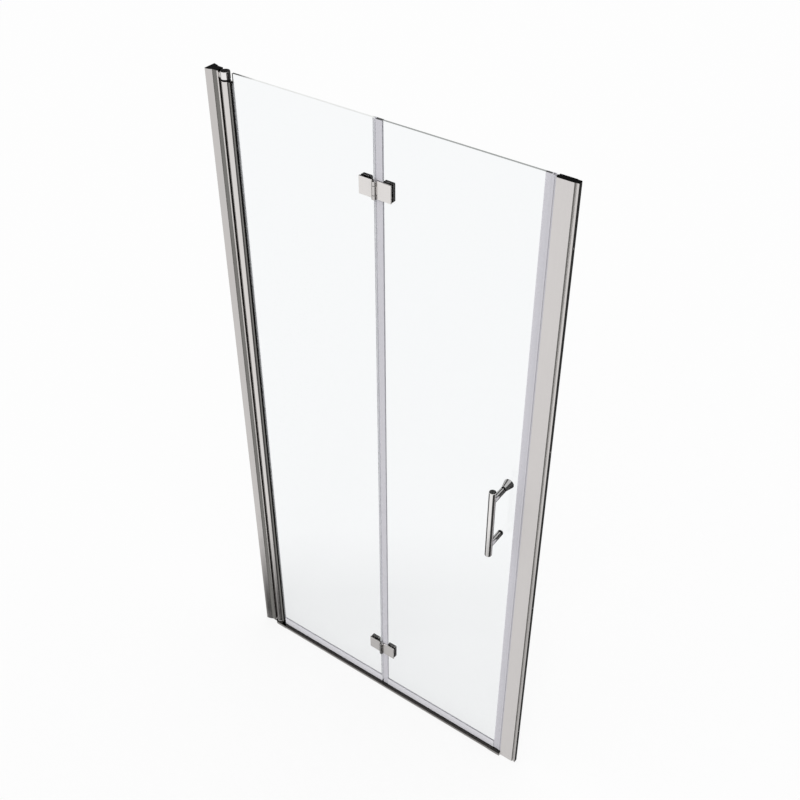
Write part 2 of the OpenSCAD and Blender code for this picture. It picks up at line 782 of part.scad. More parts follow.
frame_seal_x0 = closing_x0 - frame_seal_w;
frame_seal_x1 = closing_x0 - push_fit;
magnet_half = magnet_housing_d / 2;
magnet_in_half = magnet_half - housing_t;
upright_seal_z0 = drip_z0 + cut_over;

module frame_magnet_seal() {
    foot_x0 = closing_x0 + closing_t + slide_fit;
    color(clear_seal) upright(upright_seal_z0, cap_z) difference() {
        union() {
            rect(frame_seal_x0, frame_seal_x1, -magnet_half, magnet_half);
            rect(frame_seal_x1 - cut_over, foot_x0 + foot_head_t, -foot_neck_half, foot_neck_half);
            rect(foot_x0, foot_x0 + foot_head_t, -foot_head_half, foot_head_half);
        }
        rect(frame_seal_x0 + housing_t, frame_seal_x1 - housing_t, -magnet_in_half, magnet_in_half);
    }
}

// Magnet strip inside a housing whose chamber runs from x0 to x1
module magnet_strip(x0, x1) {
    half = magnet_in_half - push_fit;
    color(magnet_grey) upright(upright_seal_z0, cap_z) rect(x0 + push_fit, x1 - push_fit, -half, half);
}

module frame_magnet() {
    magnet_strip(frame_seal_x0 + housing_t, frame_seal_x1 - housing_t);
}

module post_section() {
    difference() {
        union() {
            translate([pivot_x, 0]) circle(r = post_r);
            rect(pivot_x, jaw_end, -jaw_half, jaw_half);
            rect(jaw_end - post_lip_w, jaw_end, -lip_half, lip_half);
        }
        translate([pivot_x, 0]) circle(r = bore_r);
        rect(glass_l - push_fit, jaw_end + cut_over, -slot_half, slot_half);
    }
}

module pivot_post() {
    color(bright_metal) upright(post_z0, post_z1) post_section();
}

// Bush in one end of the post: z is the end of the post, side is -1 at the bottom and 1 at the top
module post_bush(z, side) {
    color(black_plastic) translate([pivot_x, 0, z]) mirror([0, 0, side < 0 ? 1 : 0]) difference() {
        union() {
            cylinder(r = post_r - slide_fit, h = flange_t);
            translate([0, 0, -bush_depth]) cylinder(r = bore_r - push_fit, h = bush_depth);
        }
        translate([0, 0, -bush_depth - cut_over])
            cylinder(r = pin_r + run_fit, h = bush_depth + flange_t + 2 * cut_over);
    }
}

module post_top_bush() {
    post_bush(post_z1, 1);
}

module post_bottom_bush() {
    post_bush(post_z0, -1);
}

// Pane from x0 to x1 with ground upright edges
module pane(x0, x1) {
    a = glass_arris;
    h = pane_half;
    upright(glass_z0, door_h) polygon([[x0 + a, -h], [x1 - a, -h], [x1, -h + a], [x1, h - a], [x1 - a, h],
        [x0 + a, h], [x0, h - a], [x0, -h + a]]);
}

module hinge_holes(x) {
    for (z = [fold_top_z, fold_bottom_z], side = [-1, 1])
        rod_y(x, z + side * clamp_screw_pitch / 2, -glass_t, glass_t, glass_hole_r);
}

module hinge_side_glass() {
    notch_x1 = glass_l + corner_notch;
    color(clear_pane) difference() {
        pane(glass_l, pane_1_x1);
        block(glass_l - cut_over, notch_x1, -glass_t, glass_t, post_z1 - cut_over, door_h + cut_over);
        block(glass_l - cut_over, notch_x1, -glass_t, glass_t, 0, post_z0 + cut_over);
        hinge_holes(left_screw_x);
    }
}

// Glazing strip on one side of the glass: the part inside the jaws and the tapered lip that shows
module post_gasket(side) {
    toe = jaw_end + (side < 0 ? post_gasket_lip : seal_t);
    color(black_rubber) upright(post_z0 + cut_over, post_z1 - cut_over) mirror([0, side < 0 ? 1 : 0])
        polygon([[glass_l, leg_in], [toe, leg_in], [toe, leg_in + seal_t], [jaw_end + seal_t, lip_half],
            [jaw_end + push_fit, lip_half], [jaw_end + push_fit, slot_half - push_fit],
            [glass_l, slot_half - push_fit]]);
}

module post_gasket_front() {
    post_gasket(-1);
}

module post_gasket_back() {
    post_gasket(1);
}

// Knuckle between z0 and z1 and the web that joins it to its leaf, which lies on the given side
module knuckle(z0, z1, side) {
    reach = fold_x + side * (leaf_gap + cut_over);
    bevel_rod(fold_x, fold_y, z0, z1, knuckle_r, knuckle_bevel);
    block(min(fold_x, reach), max(fold_x, reach), leaf_front, leaf_back, z0, z1);
}

// Hinge leaf on the given side of the fold; knuckles holds the [low, high] ends of its knuckles
module fold_leaf(side, z, screw_x, knuckles, hole_r) {
    near = fold_x + side * leaf_gap;
    far = near + side * leaf_w;
    color(chrome_metal) difference() {
        union() {
            bevel_plate(min(near, far), max(near, far), leaf_front, leaf_back, z - leaf_half_h,
                z + leaf_half_h, leaf_bevel);
            for (k = knuckles) knuckle(z + k[0], z + k[1], side);
            for (s = [-1, 1])
                rod_y(screw_x, z + s * clamp_screw_pitch / 2, leaf_back - cut_over, boss_end, boss_r);
        }
        translate([fold_x, fold_y, z - leaf_h]) cylinder(r = hole_r, h = 2 * leaf_h);
        for (s = [-1, 1])
            rod_y(screw_x, z + s * clamp_screw_pitch / 2, screw_tip - tongue_gap, boss_end + cut_over,
                clamp_screw_r + push_fit);
    }
}

outer_knuckle_z = mid_half_h + fold_flange_t + knuckle_gap;
outer_knuckles = [[-leaf_half_h, -outer_knuckle_z], [outer_knuckle_z, leaf_half_h]];
middle_knuckle = [[-mid_half_h, mid_half_h]];

module fold_leaf_left_top() {
    fold_leaf(-1, fold_top_z, left_screw_x, outer_knuckles, fold_pin_r + push_fit);
}

module fold_leaf_left_bottom() {
    fold_leaf(-1, fold_bottom_z, left_screw_x, outer_knuckles, fold_pin_r + push_fit);
}

module fold_leaf_right_top() {
    fold_leaf(1, fold_top_z, right_screw_x, middle_knuckle, fold_pin_r + fold_bush_t);
}

module fold_leaf_right_bottom() {
    fold_leaf(1, fold_bottom_z, right_screw_x, middle_knuckle, fold_pin_r + fold_bush_t);
}

// Clamp plate behind the glass, with countersunk holes
module fold_clamp(x0, z) {
    half = clamp_h / 2;
    x = x0 + clamp_w / 2;
    color(chrome_metal) difference() {
        round_plate(x0, x0 + clamp_w, clamp_front, clamp_back, z - half, z + half, clamp_corner_r);
        for (s = [-1, 1]) {
            screw_z = z + s * clamp_screw_pitch / 2;
            rod_y(x, screw_z, clamp_front - cut_over, clamp_back + cut_over, clamp_screw_r + slide_fit);
            cone_y(x, screw_z, clamp_back - clamp_head_t, clamp_back + cut_over, clamp_screw_r + push_fit,
                clamp_head_r + cut_over + push_fit);
        }
    }
}

module fold_clamp_left_top() {
    fold_clamp(left_clamp_x1 - clamp_w, fold_top_z);
}

module fold_clamp_left_bottom() {
    fold_clamp(left_clamp_x1 - clamp_w, fold_bottom_z);
}

module fold_clamp_right_top() {
    fold_clamp(right_clamp_x0, fold_top_z);
}

module fold_clamp_right_bottom() {
    fold_clamp(right_clamp_x0, fold_bottom_z);
}

// Front pad with collars that line the holes in the glass, and back pad
module fold_pads(side, clamp_x0, screw_x, z) {
    near = fold_x + side * leaf_gap;
    far = near + side * leaf_w;
    half = clamp_h / 2;
    color(black_rubber) difference() {
        union() {
            block(min(near, far) + leaf_bevel, max(near, far) - leaf_bevel, leaf_back + push_fit, -leg_in,
                z - leaf_half_h + leaf_bevel, z + leaf_half_h - leaf_bevel);
            for (s = [-1, 1])
                rod_y(screw_x, z + s * clamp_screw_pitch / 2, -leg_in - push_fit, pane_half - seal_fit,
                    glass_hole_r - push_fit);
            round_plate(clamp_x0, clamp_x0 + clamp_w, leg_in, clamp_front - push_fit, z - half, z + half,
                clamp_corner_r);
        }
        for (s = [-1, 1])
            rod_y(screw_x, z + s * clamp_screw_pitch / 2, leaf_back, clamp_front, boss_r + push_fit);
    }
}

module fold_pads_left_top() {
    fold_pads(-1, left_clamp_x1 - clamp_w, left_screw_x, fold_top_z);
}

module fold_pads_left_bottom() {
    fold_pads(-1, left_clamp_x1 - clamp_w, left_screw_x, fold_bottom_z);
}

module fold_pads_right_top() {
    fold_pads(1, right_clamp_x0, right_screw_x, fold_top_z);
}

module fold_pads_right_bottom() {
    fold_pads(1, right_clamp_x0, right_screw_x, fold_bottom_z);
}

// Countersunk screws with six-sided sockets, four on each side of the fold
module fold_screws(x) {
    color(steel) for (z = [fold_top_z, fold_bottom_z], s = [-1, 1])
        translate([x, 0, z + s * clamp_screw_pitch / 2]) difference() {
            union() {
                rod_y(0, 0, screw_tip, clamp_back - clamp_head_t + push_fit, clamp_screw_r);
                cone_y(0, 0, clamp_back - clamp_head_t, clamp_back, clamp_screw_r, clamp_head_r);
            }
            translate([0, clamp_back - socket_depth, 0]) rotate([-90, 0, 0])
                cylinder(r = socket_r, h = socket_depth + cut_over, $fn = 6);
        }
}

module fold_screws_left() {
    fold_screws(left_screw_x);
}

module fold_screws_right() {
    fold_screws(right_screw_x);
}

module fold_pin(z) {
    color(steel) bevel_rod(fold_x, fold_y, z - leaf_half_h, z + leaf_half_h, fold_pin_r, knuckle_bevel);
}

module fold_pin_top() {
    fold_pin(fold_top_z);
}

module fold_pin_bottom() {
    fold_pin(fold_bottom_z);
}

// Two flanged bushes, pressed into the middle knuckle from its ends
module fold_bush(z) {
    flanged_h = mid_half_h + fold_flange_t;
    sleeve_h = flanged_h - fold_bush_split / 2;
    color(black_plastic) for (s = [-1, 1]) translate([fold_x, fold_y, z]) difference() {
        union() {
            translate([0, 0, s > 0 ? flanged_h - sleeve_h : -flanged_h])
                cylinder(r = fold_pin_r + fold_bush_t - push_fit, h = sleeve_h);
            translate([0, 0, s > 0 ? mid_half_h + push_fit : -flanged_h])
                cylinder(r = knuckle_r - fold_flange_in, h = fold_flange_t - push_fit);
        }
        translate([0, 0, -knuckle_mid_h]) cylinder(r = fold_pin_r + run_fit, h = 2 * knuckle_mid_h);
    }
}

module fold_bush_top() {
    fold_bush(fold_top_z);
}

module fold_bush_bottom() {
    fold_bush(fold_bottom_z);
}

// Seal under a pane: two legs on the glass, a web below it, a front skirt and a fin towards the shower
module drip_seal(x0, x1) {
    fin_y = drip_out + drip_fin;
    color(clear_seal) along_x(x0, x1)
        polygon([[-drip_out, drip_z0], [-leg_in, drip_z0], [-leg_in, drip_web_z0], [leg_in, drip_web_z0],
            [fin_y, drip_z0], [fin_y, drip_z0 + drip_fin_t], [drip_out, drip_web_z1], [drip_out, drip_z1],
            [leg_in, drip_z1], [leg_in, drip_web_z1], [-leg_in, drip_web_z1], [-leg_in, drip_z1],
            [-drip_out, drip_z1]]);
}

module drip_seal_left() {
    drip_seal(glass_l + corner_notch + post_gasket_lip, pane_1_x1);
}

fold_seal_x1 = pane_2_x0 - seal_fit - seal_t + fold_seal_leg;
magnet_seal_x0 = pane_2_x1 + seal_fit + seal_t - magnet_leg;

module drip_seal_right() {
    drip_seal(fold_seal_x1 + seal_fit, magnet_seal_x0 - drip_end_gap);
}

module handle_side_glass() {
    color(clear_pane) difference() {
        pane(pane_2_x0, pane_2_x1);
        hinge_holes(right_screw_x);
        for (z = [handle_z0, handle_z1]) rod_y(handle_x, z, -glass_t, glass_t, handle_hole_r);
    }
}

// Clip-on seal between the panes, cut away where the hinges are, with a lip behind the other pane
module fold_seal() {
    web_x1 = pane_2_x0 - seal_fit;
    web_x0 = web_x1 - seal_t;
    lip_t = seal_t - run_gap;
    lip_y = pane_half + 2 * run_gap;
    notch_half = leaf_half_h + cut_over;
    notch_x1 = web_x0 + leaf_w;
    color(clear_seal) difference() {
        union() {
            upright(upright_seal_z0, door_h) {
                rect(web_x0, web_x1, -leg_out, leg_out);
                rect(web_x0, web_x0 + fold_seal_leg, -leg_out, -leg_in);
                rect(web_x0, web_x0 + fold_seal_leg, leg_in, leg_out);
            }
            upright(drip_z1 + drip_end_gap, door_h)
                rect(web_x1 - fold_seal_lip, web_x1, lip_y, lip_y + lip_t);
        }
        for (z = [fold_top_z, fold_bottom_z]) {
            block(web_x0 - cut_over, notch_x1, -leaf_w, -pane_half / 2, z - notch_half, z + notch_half);
            block(right_clamp_x0 - cut_over, notch_x1, 0, leaf_w, z - notch_half, z + notch_half);
        }
    }
}

// Clip-on seal of the closing edge, with the housing of its magnet
module door_magnet_seal() {
    web_x0 = pane_2_x1 + seal_fit;
    web_x1 = web_x0 + seal_t;
    housing_x1 = web_x1 + magnet_housing_w;
    color(clear_seal) upright(upright_seal_z0, door_h) difference() {
        union() {
            rect(web_x1 - magnet_leg, web_x1, -leg_out, -leg_in);
            rect(web_x1 - magnet_leg, web_x1, leg_in, leg_out);
            rect(web_x0, web_x1, -leg_out, leg_out);
            rect(web_x0 + seal_t / 2, housing_x1, -magnet_half, magnet_half);
        }
        rect(web_x1 + housing_t, housing_x1 - housing_t, -magnet_in_half, magnet_in_half);
    }
}

module door_magnet() {
    web_x1 = pane_2_x1 + seal_fit + seal_t;
    magnet_strip(web_x1 + housing_t, web_x1 + magnet_housing_w - housing_t);
}

module handle_bar() {
    half = handle_len / 2;
    color(chrome_metal) bevel_rod(handle_x, bar_y, handle_z - half, handle_z + half, bar_r, bar_bevel);
}

// Post from the glass to the bar, shaped to the bar at one end and bored for its stud at the other
module handle_post(z) {
    color(chrome_metal) difference() {
        rod_y(handle_x, z, bar_y, ring_front, handle_post_r);
        translate([handle_x, bar_y, z - 2 * bar_r]) cylinder(r = bar_r, h = 4 * bar_r);
        rod_y(handle_x, z, ring_front - stud_depth - tongue_gap, ring_front + cut_over, stud_r + push_fit);
    }
}

module handle_post_top() {
    handle_post(handle_z1);
}

module handle_post_bottom() {
    handle_post(handle_z0);
}

// Rings on both faces of the glass; the front ones have a collar that lines the hole
module handle_rings() {
    color(black_rubber) for (z = [handle_z0, handle_z1]) {
        difference() {
            union() {
                rod_y(handle_x, z, ring_front, -leg_in, handle_post_r);
                rod_y(handle_x, z, -leg_in - push_fit, pane_half - seal_fit, handle_hole_r - push_fit);
            }
            rod_y(handle_x, z, ring_front - cut_over, pane_half, stud_r + push_fit);
        }
        difference() {
            rod_y(handle_x, z, leg_in, ring_back, handle_post_r);
            rod_y(handle_x, z, 0, ring_back + cut_over, stud_r + push_fit);
        }
    }
}

module handle_knob() {
    y1 = ring_back + knob_len;
    bore_y1 = ring_back + stud_depth + tongue_gap;
    color(chrome_metal) difference() {
        union() {
            cone_y(handle_x, handle_z1, ring_back, y1 - knob_bevel, handle_post_r, knob_r);
            cone_y(handle_x, handle_z1, y1 - knob_bevel, y1, knob_r, knob_r - knob_bevel);
        }
        rod_y(handle_x, handle_z1, ring_back - cut_over, bore_y1, stud_r + push_fit);
    }
}

module handle_stud() {
    color(steel) rod_y(handle_x, handle_z1, ring_front - stud_depth, ring_back + stud_depth, stud_r);
}

// Flat screw that holds the lower post from inside
module handle_lower_screw() {
    y1 = ring_back + lower_head_t;
    color(steel) difference() {
        union() {
            rod_y(handle_x, handle_z0, ring_front - stud_depth, ring_back + cut_over, stud_r);
            rod_y(handle_x, handle_z0, ring_back, y1, lower_head_r);
        }
        translate([handle_x, y1 - socket_depth, handle_z0]) rotate([-90, 0, 0])
            cylinder(r = socket_r, h = socket_depth + cut_over, $fn = 6);
    }
}

wall_channel_left();
pivot_jamb();
jamb_bulb_seal();
jamb_top_cap();
jamb_fixing_screws();
top_pivot_block();
top_pivot_pin();
bottom_pivot_block();
bottom_pivot_pin();
pivot_block_screws();
bottom_thrust_washer();
threshold_rail();
rail_end_left();
rail_end_right();
wall_channel_right();
closing_profile();
closing_top_cap();
closing_fixing_screws();
frame_magnet_seal();
frame_magnet();
pivot_post();
post_top_bush();
post_bottom_bush();
hinge_side_glass();
post_gasket_front();
post_gasket_back();
fold_leaf_left_top();
fold_leaf_left_bottom();
fold_clamp_left_top();
fold_clamp_left_bottom();
fold_pads_left_top();
fold_pads_left_bottom();
fold_screws_left();
fold_pin_top();
fold_pin_bottom();
drip_seal_left();
handle_side_glass();
fold_leaf_right_top();
fold_leaf_right_bottom();
fold_clamp_right_top();
fold_clamp_right_bottom();
fold_pads_right_top();
fold_pads_right_bottom();
fold_screws_right();
fold_bush_top();
fold_bush_bottom();
fold_seal();
drip_seal_right();
door_magnet_seal();
door_magnet();
handle_bar();
handle_post_top();
handle_post_bottom();
handle_rings();
handle_knob();
handle_stud();
handle_lower_screw();
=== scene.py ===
import json
import math

import bmesh
import bpy
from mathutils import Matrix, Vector

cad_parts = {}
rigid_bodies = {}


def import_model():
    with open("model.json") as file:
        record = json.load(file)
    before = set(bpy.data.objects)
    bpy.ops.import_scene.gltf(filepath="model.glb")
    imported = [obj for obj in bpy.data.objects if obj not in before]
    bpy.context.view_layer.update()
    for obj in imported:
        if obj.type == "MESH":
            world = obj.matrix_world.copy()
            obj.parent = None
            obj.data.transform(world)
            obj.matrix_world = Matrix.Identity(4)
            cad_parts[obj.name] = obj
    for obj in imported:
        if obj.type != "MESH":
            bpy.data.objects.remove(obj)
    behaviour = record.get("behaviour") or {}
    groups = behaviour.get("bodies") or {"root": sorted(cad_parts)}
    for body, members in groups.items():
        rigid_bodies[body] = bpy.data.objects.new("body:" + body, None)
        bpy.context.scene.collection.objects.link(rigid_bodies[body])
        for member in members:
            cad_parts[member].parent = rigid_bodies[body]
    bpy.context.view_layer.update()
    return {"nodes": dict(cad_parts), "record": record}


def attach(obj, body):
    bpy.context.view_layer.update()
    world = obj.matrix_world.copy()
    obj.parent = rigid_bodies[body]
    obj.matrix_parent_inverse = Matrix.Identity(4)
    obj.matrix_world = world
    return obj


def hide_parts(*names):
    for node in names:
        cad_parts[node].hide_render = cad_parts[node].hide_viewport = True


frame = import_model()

mm = 0.001
scene = bpy.context.scene
bodyOf = {node: body for body, members in frame["record"]["behaviour"]["bodies"].items() for node in members}
slotOf = {part["node"]: part["material_slot"] for part in frame["record"]["subparts"]}

print("stage 1: camera and studio")

# place and reach in metres, angles in degrees, lens and sensor in millimetres
camera = {"place": (1.3325, -1.7785, 2.972), "tilt": 51.07, "turn": 35.61, "lens": 50.0, "sensor": 36.0,
    "reach": 50.0}


def addCamera():
    data = bpy.data.cameras.new("camera")
    data.lens = camera["lens"]
    data.sensor_width = camera["sensor"]
    data.clip_end = camera["reach"]
    eye = bpy.data.objects.new("camera", data)
    eye.location = camera["place"]
    eye.rotation_euler = (math.radians(camera["tilt"]), 0.0, math.radians(camera["turn"]))
    scene.collection.objects.link(eye)
    scene.camera = eye


addCamera()


# node helpers

def addNode(tree, kind, **values):
    node = tree.nodes.new(kind)
    for name, value in values.items():
        setattr(node, name, value)
    return node


def link(tree, output, target):
    tree.links.new(output, target)


def mathNode(tree, operation, first, second=None):
    node = addNode(tree, "ShaderNodeMath", operation=operation)
    for socket, value in zip(node.inputs, (first, second)):
        if value is None:
            continue
        if isinstance(value, (int, float)):
            socket.default_value = value
        else:
            link(tree, value, socket)
    return node.outputs[0]


def newGroup(name, inputs, outputs):
    group = bpy.data.node_groups.new(name, "ShaderNodeTree")
    for label, kind, value in inputs:
        socket = group.interface.new_socket(label, in_out="INPUT", socket_type=kind)
        if value is not None:
            socket.default_value = value
    for label, kind in outputs:
        group.interface.new_socket(label, in_out="OUTPUT", socket_type=kind)
    return group, addNode(group, "NodeGroupInput"), addNode(group, "NodeGroupOutput")


def useGroup(tree, group, **values):
    node = addNode(tree, "ShaderNodeGroup", node_tree=group)
    for label, value in values.items():
        socket = node.inputs[label]
        if isinstance(value, bpy.types.NodeSocket):
            link(tree, value, socket)
        else:
            socket.default_value = value
    return node


def objectPlace(tree):
    return addNode(tree, "ShaderNodeTexCoord").outputs["Object"]


def stretched(tree, place, scale, turn):
    mapping = addNode(tree, "ShaderNodeMapping")
    mapping.inputs["Scale"].default_value = scale
    mapping.inputs["Rotation"].default_value = turn
    link(tree, place, mapping.inputs["Vector"])
    return mapping.outputs[0]


def noiseOn(tree, place, scale, detail=3.0, roughness=0.55):
    noise = addNode(tree, "ShaderNodeTexNoise")
    noise.inputs["Scale"].default_value = scale
    noise.inputs["Detail"].default_value = detail
    noise.inputs["Roughness"].default_value = roughness
    link(tree, place, noise.inputs["Vector"])
    return noise.outputs["Fac"]


def ranged(tree, value, low, high, outLow=0.0, outHigh=1.0):
    node = addNode(tree, "ShaderNodeMapRange")
    node.inputs["From Min"].default_value = low
    node.inputs["From Max"].default_value = high
    node.inputs["To Min"].default_value = outLow
    node.inputs["To Max"].default_value = outHigh
    link(tree, value, node.inputs["Value"])
    return node.outputs[0]


def blended(tree, factor, first, second):
    node = addNode(tree, "ShaderNodeMix", data_type="FLOAT")
    link(tree, factor, node.inputs[0])
    for socket, value in ((node.inputs[2], first), (node.inputs[3], second)):
        if isinstance(value, bpy.types.NodeSocket):
            link(tree, value, socket)
        else:
            socket.default_value = value
    return node.outputs[0]


def mixedColour(tree, factor, first, second):
    node = addNode(tree, "ShaderNodeMix", data_type="RGBA")
    link(tree, factor, node.inputs[0])
    for socket, value in ((node.inputs[6], first), (node.inputs[7], second)):
        if isinstance(value, bpy.types.NodeSocket):
            link(tree, value, socket)
        else:
            socket.default_value = (*value, 1.0)
    return node.outputs[2]


# effects that several finishes share

# how closely the fine and the broad lines lie, the share of the fine ones, and their depth in metres
lineLook = {"fine": 2600.0, "broad": 520.0, "detail": 2.0, "fineShare": 0.6, "deep": 0.00006}


def makeDieLines():
    # fine lines that an extruder leaves along a profile, with its length along Z or X
    group, given, result = newGroup("dieLines",
        [("Along", "NodeSocketVector", (1.0, 1.0, 0.01)), ("Depth", "NodeSocketFloat", 0.1)],
        [("Lines", "NodeSocketFloat"), ("Normal", "NodeSocketVector")])
    scaled = addNode(group, "ShaderNodeVectorMath", operation="MULTIPLY")
    link(group, objectPlace(group), scaled.inputs[0])
    link(group, given.outputs["Along"], scaled.inputs[1])
    fine = noiseOn(group, scaled.outputs[0], lineLook["fine"], lineLook["detail"])
    broad = noiseOn(group, scaled.outputs[0], lineLook["broad"], lineLook["detail"])
    fine = mathNode(group, "MULTIPLY", fine, lineLook["fineShare"])
    broad = mathNode(group, "MULTIPLY", broad, 1.0 - lineLook["fineShare"])
    lines = mathNode(group, "ADD", fine, broad)
    bump = addNode(group, "ShaderNodeBump")
    bump.inputs["Distance"].default_value = lineLook["deep"]
    link(group, given.outputs["Depth"], bump.inputs["Strength"])
    link(group, lines, bump.inputs["Height"])
    link(group, lines, result.inputs["Lines"])
    link(group, bump.outputs[0], result.inputs["Normal"])
    return group


# patches and scratches: how closely they lie, the part of the noise that counts, and how scratches stretch
handlingLook = {"patches": 14.0, "patchy": (0.42, 0.68), "scratches": 900.0, "sparse": (0.70, 0.78),
    "stretch": (1.0, 1.0, 0.06), "slant": (0.5, 0.35, 0.6)}


def makeHandling():
    # soft patches where a surface has been wiped, with a few fine scratches across them
    group, given, result = newGroup("handling",
        [("Size", "NodeSocketFloat", 1.0)], [("Smears", "NodeSocketFloat"), ("Scratches", "NodeSocketFloat")])
    scaled = addNode(group, "ShaderNodeVectorMath", operation="SCALE")
    link(group, objectPlace(group), scaled.inputs[0])
    link(group, given.outputs["Size"], scaled.inputs["Scale"])
    smears = noiseOn(group, scaled.outputs[0], handlingLook["patches"], 4.0, 0.6)
    smears = ranged(group, smears, *handlingLook["patchy"])
    slanted = stretched(group, scaled.outputs[0], handlingLook["stretch"], handlingLook["slant"])
    scratches = noiseOn(group, slanted, handlingLook["scratches"], 1.0)
    scratches = ranged(group, scratches, *handlingLook["sparse"])
    link(group, smears, result.inputs["Smears"])
    link(group, scratches, result.inputs["Scratches"])
    return group


# how closely the cells and the finer grain lie, and their depth in metres
grainLook = {"cells": 1500.0, "fine": 3500.0, "deep": 0.00008}


def makeMouldGrain():
    # fine leathery grain of a moulded or extruded plastic
    group, given, result = newGroup("mouldGrain",
        [("Size", "NodeSocketFloat", 1.0), ("Depth", "NodeSocketFloat", 0.2)],
        [("Grain", "NodeSocketFloat"), ("Normal", "NodeSocketVector")])
    scaled = addNode(group, "ShaderNodeVectorMath", operation="SCALE")
    link(group, objectPlace(group), scaled.inputs[0])
    link(group, given.outputs["Size"], scaled.inputs["Scale"])
    cells = addNode(group, "ShaderNodeTexVoronoi", feature="SMOOTH_F1")
    cells.inputs["Scale"].default_value = grainLook["cells"]
    link(group, scaled.outputs[0], cells.inputs["Vector"])
    fine = noiseOn(group, scaled.outputs[0], grainLook["fine"])
    grain = mathNode(group, "ADD", cells.outputs["Distance"], fine)
    bump = addNode(group, "ShaderNodeBump")
    bump.inputs["Distance"].default_value = grainLook["deep"]
    link(group, given.outputs["Depth"], bump.inputs["Strength"])
    link(group, grain, bump.inputs["Height"])
    link(group, grain, result.inputs["Grain"])
    link(group, bump.outputs[0], result.inputs["Normal"])
    return group


# how far a face turns at a worn edge, as the cosine between flat and rounded normals, and how wear breaks up
wearLook = {"samples": 4, "turning": (0.995, 0.90), "breaks": 320.0, "broken": (0.35, 0.6)}


def makeEdgeWear():
    # mask that is high along sharp outer edges, broken up so that it looks rubbed
    group, given, result = newGroup("edgeWear",
        [("Width", "NodeSocketFloat", 0.0006)], [("Edge", "NodeSocketFloat")])
    rounded = addNode(group, "ShaderNodeBevel", samples=wearLook["samples"])
    link(group, given.outputs["Width"], rounded.inputs["Radius"])
    flat = addNode(group, "ShaderNodeNewGeometry")
    along = addNode(group, "ShaderNodeVectorMath", operation="DOT_PRODUCT")
    link(group, rounded.outputs[0], along.inputs[0])
    link(group, flat.outputs["Normal"], along.inputs[1])
    edge = ranged(group, along.outputs["Value"], *wearLook["turning"])
    broken = ranged(group, noiseOn(group, objectPlace(group), wearLook["breaks"]), *wearLook["broken"])
    link(group, mathNode(group, "MULTIPLY", edge, broken), result.inputs["Edge"])
    return group


dieLines = makeDieLines()
handling = makeHandling()
mouldGrain = makeMouldGrain()
edgeWear = makeEdgeWear()


def newMaterial(name):
    material = bpy.data.materials.new(name)
    material.use_nodes = True
    tree = material.node_tree
    tree.nodes.clear()
    shader = addNode(tree, "ShaderNodeBsdfPrincipled")
    output = addNode(tree, "ShaderNodeOutputMaterial")
    link(tree, shader.outputs[0], output.inputs["Surface"])
    return material, tree, shader


print("stage 2: finishes")

# polished parts mirror the studio, satin ones keep more of their own tone
profileLook = {"colour": (0.66, 0.635, 0.62), "rubbed": (0.76, 0.74, 0.72), "roughness": (0.08, 0.14),
    "lines": 0.16, "metal": 1.0}
channelLook = {"colour": (0.54, 0.52, 0.51), "rubbed": (0.68, 0.66, 0.65), "roughness": (0.08, 0.14),
    "lines": 0.16, "metal": 1.0}
satinLook = {"colour": (0.61, 0.585, 0.575), "rubbed": (0.68, 0.66, 0.65), "roughness": (0.36, 0.46),
    "lines": 0.25, "metal": 0.12}
leafLook = {"colour": (0.70, 0.675, 0.66), "rubbed": (0.80, 0.78, 0.77), "roughness": (0.07, 0.12),
    "lines": 0.10, "metal": 0.55}
barrelLook = {"colour": (0.56, 0.54, 0.525), "rubbed": (0.62, 0.60, 0.585), "roughness": (0.05, 0.09),
    "lines": 0.08, "metal": 1.0}
stripLook = {"colour": (0.62, 0.595, 0.58), "rubbed": (0.68, 0.66, 0.65), "roughness": (0.10, 0.16),
    "lines": 0.16, "metal": 0.35}
# painted shade: a dim grey copy of the profile metal for recessed faces of the jamb and post and a step of
# the right channel
paintedShadeLook = {"colour": (0.155, 0.15, 0.14), "rubbed": (0.21, 0.205, 0.195), "roughness": (0.40, 0.52),
    "lines": 0.30, "metal": 0.20}
# painted shade: a near black copy for a groove in the post's front and the right-facing side of the closing
# profile
paintedDarkShadeLook = {"colour": (0.055, 0.053, 0.050), "rubbed": (0.08, 0.078, 0.075), "roughness": (0.40, 0.52),
    "lines": 0.30, "metal": 0.2}
# painted shade: a darker copy of the rail's metal for its front face
paintedShadeRailFrontLook = {"colour": (0.25, 0.237, 0.228), "rubbed": (0.30, 0.285, 0.275), "roughness": (0.34, 0.46),
    "lines": 0.25, "metal": 0.2}
# painted dark reflection: a near black copy of the rail's metal for its top
paintedShadeRailTopLook = {"colour": (0.045, 0.043, 0.040), "rubbed": (0.07, 0.068, 0.065), "roughness": (0.14, 0.24),
    "lines": 0.20, "metal": 1.0}
# what all of these share: size of the wiped patches, width of worn edges in metres, how much paler the die
# lines get, and how much rougher a scratch is
metalWear = {"patches": 0.7, "edge": 0.0005, "paler": 1.05, "scratch": 0.08}
lineSpan = (0.3, 0.7)    # the noise values from one side of a die line to the other


def makeProfileMetal(name, along, look):
    material, tree, shader = newMaterial(name)
    shader.inputs["Metallic"].default_value = look["metal"]
    lines = useGroup(tree, dieLines, Along=along, Depth=look["lines"])
    marks = useGroup(tree, handling, Size=metalWear["patches"])
    wear = useGroup(tree, edgeWear, Width=metalWear["edge"])
    paler = tuple(metalWear["paler"] * c for c in look["colour"])
    tone = mixedColour(tree, ranged(tree, lines.outputs["Lines"], *lineSpan), look["colour"], paler)
    tone = mixedColour(tree, wear.outputs["Edge"], tone, look["rubbed"])
    link(tree, tone, shader.inputs["Base Color"])
    low, high = look["roughness"]
    rough = ranged(tree, marks.outputs["Smears"], 0.0, 1.0, low, high)
    scratched = mathNode(tree, "MULTIPLY", marks.outputs["Scratches"], metalWear["scratch"])
    rough = mathNode(tree, "ADD", rough, scratched)
    link(tree, rough, shader.inputs["Roughness"])
    link(tree, lines.outputs["Normal"], shader.inputs["Normal"])
    return material


